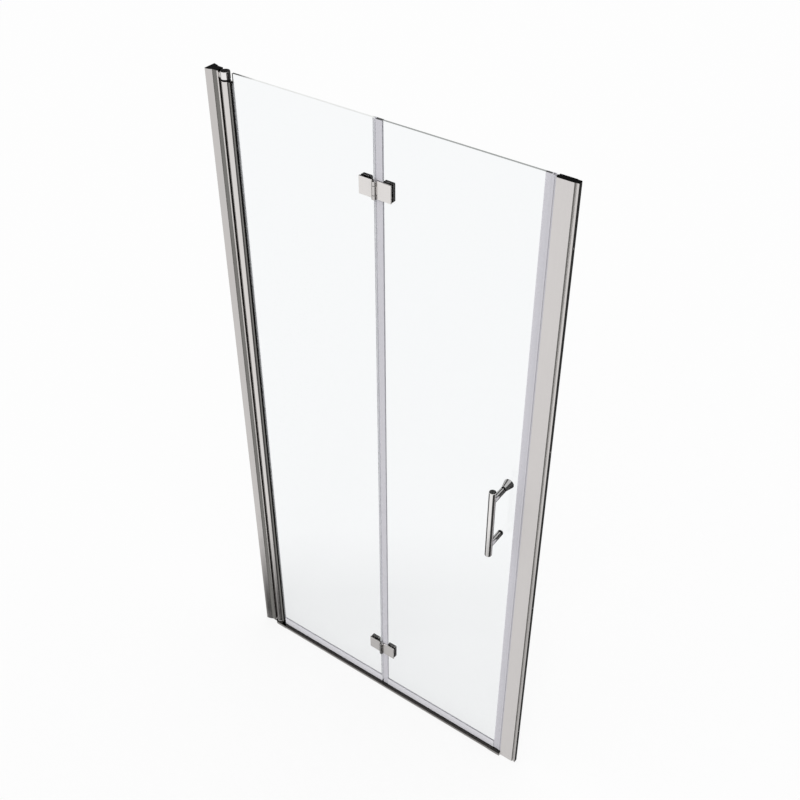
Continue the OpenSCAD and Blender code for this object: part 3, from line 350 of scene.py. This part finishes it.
chromeLook = {"colour": (0.80, 0.785, 0.775), "rubbed": (0.88, 0.87, 0.86), "roughness": (0.05, 0.14),
    "patches": 2.5, "edge": 0.0004, "scratch": 0.12, "waves": 60.0, "wave": 0.06, "waveHeight": 0.0002}


def makeChrome():
    material, tree, shader = newMaterial("chromeFinish")
    shader.inputs["Metallic"].default_value = 1.0
    marks = useGroup(tree, handling, Size=chromeLook["patches"])
    wear = useGroup(tree, edgeWear, Width=chromeLook["edge"])
    link(tree, mixedColour(tree, wear.outputs["Edge"], chromeLook["colour"], chromeLook["rubbed"]),
        shader.inputs["Base Color"])
    low, high = chromeLook["roughness"]
    rough = ranged(tree, marks.outputs["Smears"], 0.0, 1.0, low, high)
    scratched = mathNode(tree, "MULTIPLY", marks.outputs["Scratches"], chromeLook["scratch"])
    link(tree, mathNode(tree, "ADD", rough, scratched), shader.inputs["Roughness"])
    bump = addNode(tree, "ShaderNodeBump")
    bump.inputs["Strength"].default_value = chromeLook["wave"]
    bump.inputs["Distance"].default_value = chromeLook["waveHeight"]
    link(tree, noiseOn(tree, objectPlace(tree), chromeLook["waves"], 2.0), bump.inputs["Height"])
    link(tree, bump.outputs[0], shader.inputs["Normal"])
    return material


steelLook = {"colour": (0.50, 0.49, 0.48), "dull": (0.36, 0.355, 0.35), "roughness": (0.22, 0.40),
    "turned": (0.3, 1.0, 0.3), "lines": 0.5, "patches": 4.0}


def makeScrewSteel():
    material, tree, shader = newMaterial("screwSteel")
    shader.inputs["Metallic"].default_value = 1.0
    turned = useGroup(tree, dieLines, Along=steelLook["turned"], Depth=steelLook["lines"])
    marks = useGroup(tree, handling, Size=steelLook["patches"])
    link(tree, mixedColour(tree, marks.outputs["Smears"], steelLook["colour"], steelLook["dull"]),
        shader.inputs["Base Color"])
    low, high = steelLook["roughness"]
    link(tree, ranged(tree, turned.outputs["Lines"], *lineSpan, low, high), shader.inputs["Roughness"])
    link(tree, turned.outputs["Normal"], shader.inputs["Normal"])
    return material


glassLook = {"colour": (0.951, 0.963, 0.970), "ior": 1.5, "patches": 0.35, "haze": 0.012, "waves": 6.0,
    "wave": 0.02, "waveHeight": 0.0005, "mirror": 0.05, "shade": 0.98}


def makeClearGlass():
    material, tree, shader = newMaterial("clearGlass")
    shader.inputs["Base Color"].default_value = (*glassLook["colour"], 1.0)
    shader.inputs["Transmission Weight"].default_value = 1.0
    shader.inputs["IOR"].default_value = glassLook["ior"]
    shader.inputs["Specular Tint"].default_value = (*[glassLook["mirror"]] * 3, 1.0)
    marks = useGroup(tree, handling, Size=glassLook["patches"])
    haze = mathNode(tree, "MULTIPLY", marks.outputs["Smears"], glassLook["haze"])
    link(tree, haze, shader.inputs["Roughness"])
    bump = addNode(tree, "ShaderNodeBump")
    bump.inputs["Strength"].default_value = glassLook["wave"]
    bump.inputs["Distance"].default_value = glassLook["waveHeight"]
    link(tree, noiseOn(tree, objectPlace(tree), glassLook["waves"], 1.0), bump.inputs["Height"])
    link(tree, bump.outputs[0], shader.inputs["Normal"])
    # a pane lets the lamps through, so shadow rays pass
    path = addNode(tree, "ShaderNodeLightPath")
    clear = addNode(tree, "ShaderNodeBsdfTransparent")
    clear.inputs["Color"].default_value = (*[glassLook["shade"]] * 3, 1.0)
    mix = addNode(tree, "ShaderNodeMixShader")
    link(tree, path.outputs["Is Shadow Ray"], mix.inputs[0])
    link(tree, shader.outputs[0], mix.inputs[1])
    link(tree, clear.outputs[0], mix.inputs[2])
    output = next(n for n in tree.nodes if n.type == "OUTPUT_MATERIAL")
    link(tree, mix.outputs[0], output.inputs["Surface"])
    return material


# along x, in metres, the top rims' painted shade and reflection go from dark to pale over the first stretch,
# then they are dark between the legs of the fold seal, grey along the right pane and dark at its end
paintedShadeAndLightRimLook = {"left": (-0.400, -0.346), "gap": (-0.004, -0.003), "between": (0.0135, 0.0155),
    "right": (0.411, 0.413), "dark": (0.012, 0.014, 0.013), "pale": (0.82, 0.83, 0.82),
    "grey": (0.33, 0.345, 0.34), "streaks": 0.15, "roughness": (0.35, 0.55)}
sideLook = {"colour": (0.86, 0.87, 0.88), "pale": (0.92, 0.93, 0.94), "roughness": (0.25, 0.40)}
grinding = {"along": (0.6, 1.0, 0.6), "lines": 0.3, "patches": 2.0}


def groundRim(name, look):
    # the rim of a pane, ground with a fine wheel along its length
    material, tree, shader = newMaterial(name)
    lines = useGroup(tree, dieLines, Along=grinding["along"], Depth=grinding["lines"])
    marks = useGroup(tree, handling, Size=grinding["patches"])
    low, high = look["roughness"]
    link(tree, ranged(tree, marks.outputs["Smears"], 0.0, 1.0, low, high), shader.inputs["Roughness"])
    link(tree, lines.outputs["Normal"], shader.inputs["Normal"])
    return material, tree, shader, lines.outputs["Lines"]


def makeTopRim():
    material, tree, shader, lines = groundRim("groundGlassEdge", paintedShadeAndLightRimLook)
    parts = addNode(tree, "ShaderNodeSeparateXYZ")
    link(tree, objectPlace(tree), parts.inputs[0])
    across = parts.outputs["X"]
    # painted shade and painted reflection: the rim's tone changes along x
    tone = paintedShadeAndLightRimLook["dark"]
    for stretch, after in (("left", "pale"), ("gap", "dark"), ("between", "grey"), ("right", "dark")):
        tone = mixedColour(tree, ranged(tree, across, *paintedShadeAndLightRimLook[stretch]), tone, paintedShadeAndLightRimLook[after])
    streaks = ranged(tree, lines, *lineSpan, 0.0, paintedShadeAndLightRimLook["streaks"])
    link(tree, mixedColour(tree, streaks, tone, paintedShadeAndLightRimLook["pale"]), shader.inputs["Base Color"])
    return material


def makeSideRim():
    material, tree, shader, lines = groundRim("polishedGlassEdge", sideLook)
    link(tree, mixedColour(tree, lines, sideLook["colour"], sideLook["pale"]), shader.inputs["Base Color"])
    return material


sealLook = {"colour": (0.655, 0.645, 0.69), "milky": (0.705, 0.695, 0.74), "alpha": 0.80,
    "roughness": (0.22, 0.36)}
dripLook = {"colour": (0.75, 0.74, 0.78), "milky": (0.80, 0.79, 0.83), "alpha": 0.90,
    "roughness": (0.22, 0.36)}
glazingLook = {"colour": (0.90, 0.90, 0.91), "milky": (0.93, 0.93, 0.94), "alpha": 0.30,
    "roughness": (0.30, 0.42)}
sealPlastic = {"lines": 0.25, "patches": 0.8, "ior": 1.45}
upright = (1.0, 1.0, 0.01)    # die lines along Z
lengthways = (0.01, 1.0, 1.0)    # die lines along X


def makeClearSeal(name, look):
    material, tree, shader = newMaterial(name)
    lines = useGroup(tree, dieLines, Along=upright, Depth=sealPlastic["lines"])
    marks = useGroup(tree, handling, Size=sealPlastic["patches"])
    tone = mixedColour(tree, lines.outputs["Lines"], look["colour"], look["milky"])
    link(tree, tone, shader.inputs["Base Color"])
    low, high = look["roughness"]
    link(tree, ranged(tree, marks.outputs["Smears"], 0.0, 1.0, low, high), shader.inputs["Roughness"])
    link(tree, lines.outputs["Normal"], shader.inputs["Normal"])
    shader.inputs["Alpha"].default_value = look["alpha"]
    shader.inputs["IOR"].default_value = sealPlastic["ior"]
    return material


mouldedLook = {"colour": (0.002, 0.002, 0.002), "worn": (0.009, 0.009, 0.009), "roughness": (0.38, 0.55),
    "grain": 0.3, "size": 1.0, "edge": 0.0004}
rubberLook = {"black": (0.004, 0.004, 0.004), "dusty": (0.050, 0.047, 0.043), "magnet": (0.045, 0.040, 0.038),
    "dust": (0.009, 0.0087, 0.0083), "roughness": (0.6, 0.8), "grain": 0.5, "size": 0.6, "patches": 1.5}
blackShine = 0.05    # how much both blacks mirror
grainSpan = (0.3, 1.2)    # the values of the grain from its pits to its tops


def makeBlackPlastic():
    material, tree, shader = newMaterial("blackMoulding")
    grain = useGroup(tree, mouldGrain, Size=mouldedLook["size"], Depth=mouldedLook["grain"])
    wear = useGroup(tree, edgeWear, Width=mouldedLook["edge"])
    link(tree, mixedColour(tree, wear.outputs["Edge"], mouldedLook["colour"], mouldedLook["worn"]),
        shader.inputs["Base Color"])
    shader.inputs["Specular IOR Level"].default_value = blackShine
    rough = ranged(tree, grain.outputs["Grain"], *grainSpan, *mouldedLook["roughness"])
    link(tree, rough, shader.inputs["Roughness"])
    link(tree, grain.outputs["Normal"], shader.inputs["Normal"])
    return material


def makeRubber(name, tone):
    material, tree, shader = newMaterial(name)
    grain = useGroup(tree, mouldGrain, Size=rubberLook["size"], Depth=rubberLook["grain"])
    marks = useGroup(tree, handling, Size=rubberLook["patches"])
    link(tree, mixedColour(tree, marks.outputs["Smears"], rubberLook[tone], rubberLook["dust"]),
        shader.inputs["Base Color"])
    shader.inputs["Specular IOR Level"].default_value = blackShine
    rough = ranged(tree, grain.outputs["Grain"], *grainSpan, *rubberLook["roughness"])
    link(tree, rough, shader.inputs["Roughness"])
    link(tree, grain.outputs["Normal"], shader.inputs["Normal"])
    return material


def foldPieces(kind):
    return [f"fold_{kind}_{side}_{end}" for side in ("left", "right") for end in ("top", "bottom")]


groundEdgePaintedShadeAndLight = makeTopRim()
sideEdge = makeSideRim()
leafMetal = makeProfileMetal("hingeLeaf", upright, leafLook)
# painted shade for recessed faces, laid on single faces further down
paintedShadeMetal = makeProfileMetal("recessedProfile", upright, paintedShadeLook)
finishes = {
    "polished_aluminium": makeProfileMetal("uprightProfile", upright, profileLook),
    "chrome": makeChrome(),
    "steel": makeScrewSteel(),
    "clear_glass": makeClearGlass(),
    "clear_seal": makeClearSeal("clearSealPlastic", sealLook),
    "black_plastic": makeBlackPlastic(),
    "black_rubber": makeRubber("blackRubber", "black"),
    "magnet_strip": makeRubber("magnetStrip", "magnet"),
}
channelMetal = makeProfileMetal("wallChannel", upright, channelLook)
railMetal = makeProfileMetal("railProfile", lengthways, stripLook)
dripPlastic = makeClearSeal("dripSealPlastic", dripLook)
ownFinish = {
    "wall_channel_left": channelMetal, "wall_channel_right": channelMetal,
    "closing_profile": makeProfileMetal("closingProfile", upright, satinLook),
    "jamb_bulb_seal": makeRubber("dustyRubber", "dusty"),
    "post_gasket_back": makeClearSeal("clearGasket", glazingLook),
    "drip_seal_left": dripPlastic, "drip_seal_right": dripPlastic,
    "threshold_rail": railMetal, "rail_end_left": railMetal, "rail_end_right": railMetal,
    **dict.fromkeys(foldPieces("leaf"), leafMetal),
}


def finishOf(node):
    return ownFinish.get(node, finishes[slotOf[node]])


def coat(piece, material):
    piece.data.materials.clear()
    piece.data.materials.append(material)


for node, piece in frame["nodes"].items():
    coat(piece, finishOf(node))

print("stage 3: pieces with softened edges")

# width of the rounding in millimetres and its steps, for each node whose corners are broken
softened = {
    "wall_channel_left": (0.25, 2), "pivot_jamb": (0.25, 2), "jamb_top_cap": (0.35, 3),
    "jamb_bulb_seal": (0.15, 2), "top_pivot_block": (0.4, 3), "bottom_pivot_block": (0.4, 3),
    "pivot_block_screws": (0.5, 4), "top_pivot_pin": (0.3, 2), "bottom_pivot_pin": (0.3, 2),
    "bottom_thrust_washer": (0.15, 2), "jamb_fixing_screws": (0.5, 4), "threshold_rail": (0.2, 2),
    "rail_end_left": (0.3, 2), "rail_end_right": (0.3, 2), "wall_channel_right": (0.25, 2),
    "closing_profile": (0.3, 3), "closing_top_cap": (0.35, 3), "closing_fixing_screws": (0.5, 4),
    "frame_magnet_seal": (0.12, 2), "pivot_post": (0.3, 2), "post_top_bush": (0.3, 2),
    "post_bottom_bush": (0.3, 2), "post_gasket_front": (0.25, 2), "post_gasket_back": (0.25, 2),
    **dict.fromkeys(foldPieces("leaf"), (0.25, 2)),
    **dict.fromkeys(foldPieces("clamp"), (0.5, 3)),
    **dict.fromkeys(foldPieces("pads"), (0.15, 2)),
    "fold_screws_left": (0.2, 2), "fold_screws_right": (0.2, 2), "fold_pin_top": (0.3, 2),
    "fold_pin_bottom": (0.3, 2), "fold_seal": (0.12, 2), "drip_seal_left": (0.15, 2),
    "drip_seal_right": (0.15, 2), "door_magnet_seal": (0.12, 2), "handle_bar": (0.3, 3),
    "handle_post_top": (0.15, 2), "handle_post_bottom": (0.15, 2), "handle_rings": (0.15, 2),
    "handle_knob": (0.35, 3), "handle_lower_screw": (0.35, 3),
}


def stripName(node):
    words = node.split("_")
    return words[0] + "".join(w.capitalize() for w in words[1:])


def finishPiece(mesh, node, material):
    piece = bpy.data.objects.new(stripName(node), mesh)
    scene.collection.objects.link(piece)
    coat(piece, material)
    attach(piece, bodyOf[node])
    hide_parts(node)
    return piece


# angles in degrees: faces this flat are joined, corners from this turn are broken, and shading is smooth
# below the last one; the merge distance is in metres
cleaning = {"merge": 1e-6, "flat": 0.3, "corner": 28, "smooth": 40}


def softenedCopy(node, width, steps):
    shape = bmesh.new()
    shape.from_mesh(frame["nodes"][node].data)
    bmesh.ops.remove_doubles(shape, verts=shape.verts, dist=cleaning["merge"])
    flat = math.radians(cleaning["flat"])
    bmesh.ops.dissolve_limit(shape, angle_limit=flat, verts=shape.verts, edges=shape.edges)
    turn = math.radians(cleaning["corner"])
    corners = [e for e in shape.edges if e.is_manifold and e.calc_face_angle(0.0) > turn]
    bmesh.ops.bevel(shape, geom=corners, offset=width * mm, offset_type="OFFSET", segments=steps, profile=0.5,
        affect="EDGES", clamp_overlap=True, material=-1)
    bmesh.ops.recalc_face_normals(shape, faces=shape.faces)
    mesh = bpy.data.meshes.new(stripName(node))
    shape.to_mesh(mesh)
    shape.free()
    mesh.shade_smooth()
    mesh.set_sharp_from_angle(angle=math.radians(cleaning["smooth"]))
    piece = finishPiece(mesh, node, finishOf(node))
    even = piece.modifiers.new("evenNormals", "WEIGHTED_NORMAL")
    even.keep_sharp = True
    return piece


for node, (width, steps) in softened.items():
    softenedCopy(node, width, steps)

# in millimetres: the rounding of a pane's rim, how near a hole's faces lie to what passes through it, and the
# end and top of the notches; faces of holes and notches are dark, like the sleeves and blocks beside them
paneLook = {"arris": 0.5, "steps": 2, "sleeve": 6.0, "notch": (-400.0, 1945.0)}
throughPane = {
    "hinge_side_glass": ("fold_screws_left",),
    "handle_side_glass": ("fold_screws_right", "handle_stud", "handle_lower_screw"),
}


def glassPane(node):
    piece = softenedCopy(node, paneLook["arris"], paneLook["steps"])
    mesh = piece.data
    for material in (groundEdgePaintedShadeAndLight, sideEdge, finishes["black_rubber"]):
        mesh.materials.append(material)
    endRim, sideRim, dark = 1, 2, 3    # where these three stand among the mesh's materials
    shanks = [v.co / mm for name in throughPane[node] for v in frame["nodes"][name].data.vertices]
    notchEnd, notchTop = paneLook["notch"]
    for face in mesh.polygons:
        if abs(face.normal.y) > 0.98:    # the two broad faces stay clear
            continue
        x, z = face.center.x / mm, face.center.z / mm
        sleeved = any(math.hypot(x - co.x, z - co.z) < paneLook["sleeve"] for co in shanks)
        sleeved = sleeved or (x < notchEnd and z < notchTop and face.normal.z > -0.5)
        face.material_index = dark if sleeved else (endRim if abs(face.normal.z) > 0.5 else sideRim)


for node in throughPane:
    glassPane(node)

# painted dark reflection for the rail's top and painted shade for its front
paintedShadeRailTopMetal = makeProfileMetal("railTop", lengthways, paintedShadeRailTopLook)
paintedShadeRailFrontMetal = makeProfileMetal("railFront", lengthways, paintedShadeRailFrontLook)
# painted shade, near black, for a groove and right-facing faces
paintedDarkShadeMetal = makeProfileMetal("profileSlot", upright, paintedDarkShadeLook)
stripMetal = makeProfileMetal("channelStrip", upright, stripLook)
front, side, top = (0.0, -1.0, 0.0), (1.0, 0.0, 0.0), (0.0, 0.0, 1.0)
# the rail's front gets painted shade and its top a painted dark reflection
railFaces = [(-490.0, 490.0, front, paintedShadeRailFrontMetal), (-490.0, 490.0, top, paintedShadeRailTopMetal)]
# faces with a finish of their own, mostly painted shade: from x to x in millimetres, the way they face, and
# the finish
ownFaces = {
    "pivot_jamb": [(-471.5, -459.3, front, paintedShadeMetal)],
    "pivot_post": [(-429.6, -424.6, front, paintedDarkShadeMetal), (-424.6, -419.8, front, paintedShadeMetal)],
    "wall_channel_right": [(481.2, 490.0, front, stripMetal), (480.0, 481.6, side, paintedShadeMetal)],
    "closing_profile": [(479.0, 490.0, side, paintedDarkShadeMetal)],
    "threshold_rail": railFaces, "rail_end_left": railFaces, "rail_end_right": railFaces,
    # the clear fold seal's top is painted black: painted shade
    "fold_seal": [(-16.0, 30.0, top, finishes["black_rubber"])],
}


def finishFaces(node, start, end, facing, finish):
    mesh = bpy.data.objects[stripName(node)].data
    mesh.materials.append(finish)
    for face in mesh.polygons:
        if face.normal.dot(Vector(facing)) > 0.5 and start < face.center.x / mm < end:
            face.material_index = len(mesh.materials) - 1


for node, zones in ownFaces.items():
    for zone in zones:
        finishFaces(node, *zone)

# the barrels of the fold hinges mirror more than their plates and reach this many millimetres from the axis
barrelReach = 6.3
foldAxis = next(j["pos_m"] for j in frame["record"]["behaviour"]["joints"] if j["name"] == "panel_fold")
barrelMetal = makeProfileMetal("hingeBarrel", upright, barrelLook)


def polishBarrel(node):
    mesh = bpy.data.objects[stripName(node)].data
    mesh.materials.append(barrelMetal)
    for face in mesh.polygons:
        if math.hypot(face.center.x - foldAxis[0], face.center.y - foldAxis[1]) < barrelReach * mm:
            face.material_index = 1


for node in foldPieces("leaf"):
    polishBarrel(node)

print("stage 4: floor, surround and lamps")

# the floor glows for what looks at it, straight or through glass; its lit part keeps the shadow
floorLook = {"size": 9.0, "drop": 0.0006, "glow": 0.83, "fill": 0.50, "matt": 0.15}


def rayKinds(tree):
    # what kind a ray is, whether it looks at a thing straight or through glass, and whether metal mirrored it
    path = addNode(tree, "ShaderNodeLightPath")
    seen = mathNode(tree, "MAXIMUM", path.outputs["Is Camera Ray"], path.outputs["Is Transmission Ray"])
    mirrored = mathNode(tree, "MINIMUM", path.outputs["Glossy Depth"], 1.0)
    return path, seen, mirrored


def makePaleFloor():
    material = bpy.data.materials.new("paleFloor")
    material.use_nodes = True
    tree = material.node_tree
    tree.nodes.clear()
    path, seen, mirrored = rayKinds(tree)
    glow = addNode(tree, "ShaderNodeEmission")
    glow.inputs["Color"].default_value = (1.0, 1.0, 1.0, 1.0)
    level = mathNode(tree, "MAXIMUM", mathNode(tree, "MULTIPLY", seen, floorLook["glow"]),
        mathNode(tree, "MULTIPLY", path.outputs["Is Diffuse Ray"], floorLook["fill"]))
    link(tree, level, glow.inputs["Strength"])
    matt = addNode(tree, "ShaderNodeBsdfDiffuse")
    matt.inputs["Color"].default_value = (*[floorLook["matt"]] * 3, 1.0)
    both = addNode(tree, "ShaderNodeAddShader")
    link(tree, glow.outputs[0], both.inputs[0])
    link(tree, matt.outputs[0], both.inputs[1])
    # behind what metal mirrors, the floor gives way to the surround
    gone = addNode(tree, "ShaderNodeBsdfTransparent")
    choice = addNode(tree, "ShaderNodeMixShader")
    link(tree, mirrored, choice.inputs[0])
    link(tree, both.outputs[0], choice.inputs[1])
    link(tree, gone.outputs[0], choice.inputs[2])
    output = addNode(tree, "ShaderNodeOutputMaterial")
    link(tree, choice.outputs[0], output.inputs["Surface"])
    material.cycles.emission_sampling = "NONE"
    return material


def addFloor():
    shape = bmesh.new()
    bmesh.ops.create_grid(shape, x_segments=1, y_segments=1, size=floorLook["size"])
    bmesh.ops.translate(shape, vec=(0.0, 0.0, -floorLook["drop"]), verts=shape.verts)
    mesh = bpy.data.meshes.new("floor")
    shape.to_mesh(mesh)
    shape.free()
    floor = bpy.data.objects.new("floor", mesh)
    scene.collection.objects.link(floor)
    mesh.materials.append(makePaleFloor())
    floor.visible_glossy = False    # metal mirrors the surround in its place


# a broad far lamp, so that the foot of the door gets as much light as its head
keyLook = {"from": (1.6, -3.2, 2.6), "spread": 30.0, "strength": 1.0}


def addLamp():
    data = bpy.data.lights.new("keyLamp", "SUN")
    data.angle = math.radians(keyLook["spread"])
    data.energy = keyLook["strength"]
    lamp = bpy.data.objects.new("keyLamp", data)
    lamp.location = keyLook["from"]
    lamp.rotation_euler = (-Vector(keyLook["from"])).to_track_quat("-Z", "Y").to_euler()
    lamp.visible_glossy = False
    lamp.visible_transmission = False
    scene.collection.objects.link(lamp)


# what metal mirrors: a bright side in front, grey to its left, near black to its right and high behind;
# turns are degrees from the middle of the bright side, heights run from -1 straight down to 1 straight up
surround = {
    "facing": -100.0, "soft": 4.0, "lit": 0.85, "seen": 0.975,
    # half widths of the bright side: looking down, and level to its left and right, with what lies between
    "halfDown": 48.5, "leftLevel": 88.0, "rightLevel": 105.0, "middle": (-10.0, 10.0),
    "downToLevel": (-0.707, 0.05),
    # tones beside it, and the turns and heights where one gives way to the next
    "left": 0.10, "right": 0.045, "leftTurn": (-175.0, -140.0), "overhead": 0.02, "overheadFrom": (0.2, 0.3),
    # a paler band at eye level on the left, behind and above
    "level": 0.60, "levelLow": (-0.36, -0.28), "levelHigh": (0.36, 0.30), "levelTurn": (0.0, -10.0),
    "behind": (146.0, 152.0), "topBack": (0.70, 0.74), "top": (0.78, 0.85),
    # the bright side's foot, dimmer to the right
    "foot": (-0.750, -0.712), "footDeep": (-0.780, -0.770), "footLeft": (0.40, 0.30), "footRight": 0.09,
    "footTurn": (-12.0, -6.0),
}


def mirroredTone(tree):
    turned = addNode(tree, "ShaderNodeVectorRotate", rotation_type="Z_AXIS")
    turned.inputs["Angle"].default_value = -math.radians(surround["facing"])
    link(tree, addNode(tree, "ShaderNodeTexCoord").outputs["Generated"], turned.inputs["Vector"])
    parts = addNode(tree, "ShaderNodeSeparateXYZ")
    link(tree, turned.outputs[0], parts.inputs[0])
    height = parts.outputs["Z"]
    turn = mathNode(tree, "ARCTAN2", parts.outputs["Y"], parts.outputs["X"])
    turn = mathNode(tree, "MULTIPLY", turn, 180.0 / math.pi)
    rightward = ranged(tree, turn, *surround["middle"])
    halfLevel = blended(tree, rightward, surround["leftLevel"], surround["rightLevel"])
    half = blended(tree, ranged(tree, height, *surround["downToLevel"]), surround["halfDown"], halfLevel)
    within = mathNode(tree, "SUBTRACT", half, mathNode(tree, "ABSOLUTE", turn))
    within = ranged(tree, within, -surround["soft"], surround["soft"])
    grey = ranged(tree, turn, *surround["leftTurn"], surround["right"], surround["left"])
    dim = blended(tree, rightward, grey, surround["right"])
    dim = blended(tree, ranged(tree, height, *surround["overheadFrom"]), dim, surround["overhead"])
    level = mathNode(tree, "MULTIPLY", ranged(tree, height, *surround["levelLow"]),
        ranged(tree, height, *surround["levelHigh"]))
    level = mathNode(tree, "MULTIPLY", level, ranged(tree, turn, *surround["levelTurn"]))
    behind = ranged(tree, mathNode(tree, "ABSOLUTE", turn), *surround["behind"])
    behind = mathNode(tree, "MULTIPLY", behind, ranged(tree, height, *surround["topBack"]))
    level = mathNode(tree, "MAXIMUM", level, behind)
    level = mathNode(tree, "MAXIMUM", level, ranged(tree, height, *surround["top"]))
    dim = mathNode(tree, "MAXIMUM", dim, mathNode(tree, "MULTIPLY", level, surround["level"]))
    footLeft = ranged(tree, height, *surround["footDeep"], *surround["footLeft"])
    foot = blended(tree, ranged(tree, turn, *surround["footTurn"]), footLeft, surround["footRight"])
    bright = blended(tree, ranged(tree, height, *surround["foot"]), foot, 1.0)
    return blended(tree, within, dim, bright)


def setWorld():
    world = bpy.data.worlds.new("studio")
    scene.world = world
    world.use_nodes = True
    world.cycles.sampling_method = "NONE"
    tree = world.node_tree
    tree.nodes.clear()
    _, seen, mirrored = rayKinds(tree)
    plain = ranged(tree, seen, 0.0, 1.0, surround["lit"], surround["seen"])
    back = addNode(tree, "ShaderNodeBackground")
    back.inputs["Color"].default_value = (1.0, 1.0, 1.0, 1.0)
    link(tree, blended(tree, mirrored, plain, mirroredTone(tree)), back.inputs["Strength"])
    output = addNode(tree, "ShaderNodeOutputWorld")
    link(tree, back.outputs[0], output.inputs["Surface"])


# how often light may turn, pass through glass and pass through clear faces
bounces = {"all": 16, "glass": 16, "clear": 24}

addFloor()
addLamp()
setWorld()
scene.view_settings.view_transform = "Standard"
scene.cycles.max_bounces = bounces["all"]
scene.cycles.transmission_bounces = bounces["glass"]
scene.cycles.transparent_max_bounces = bounces["clear"]
scene.cycles.caustics_refractive = True
scene.cycles.caustics_reflective = False
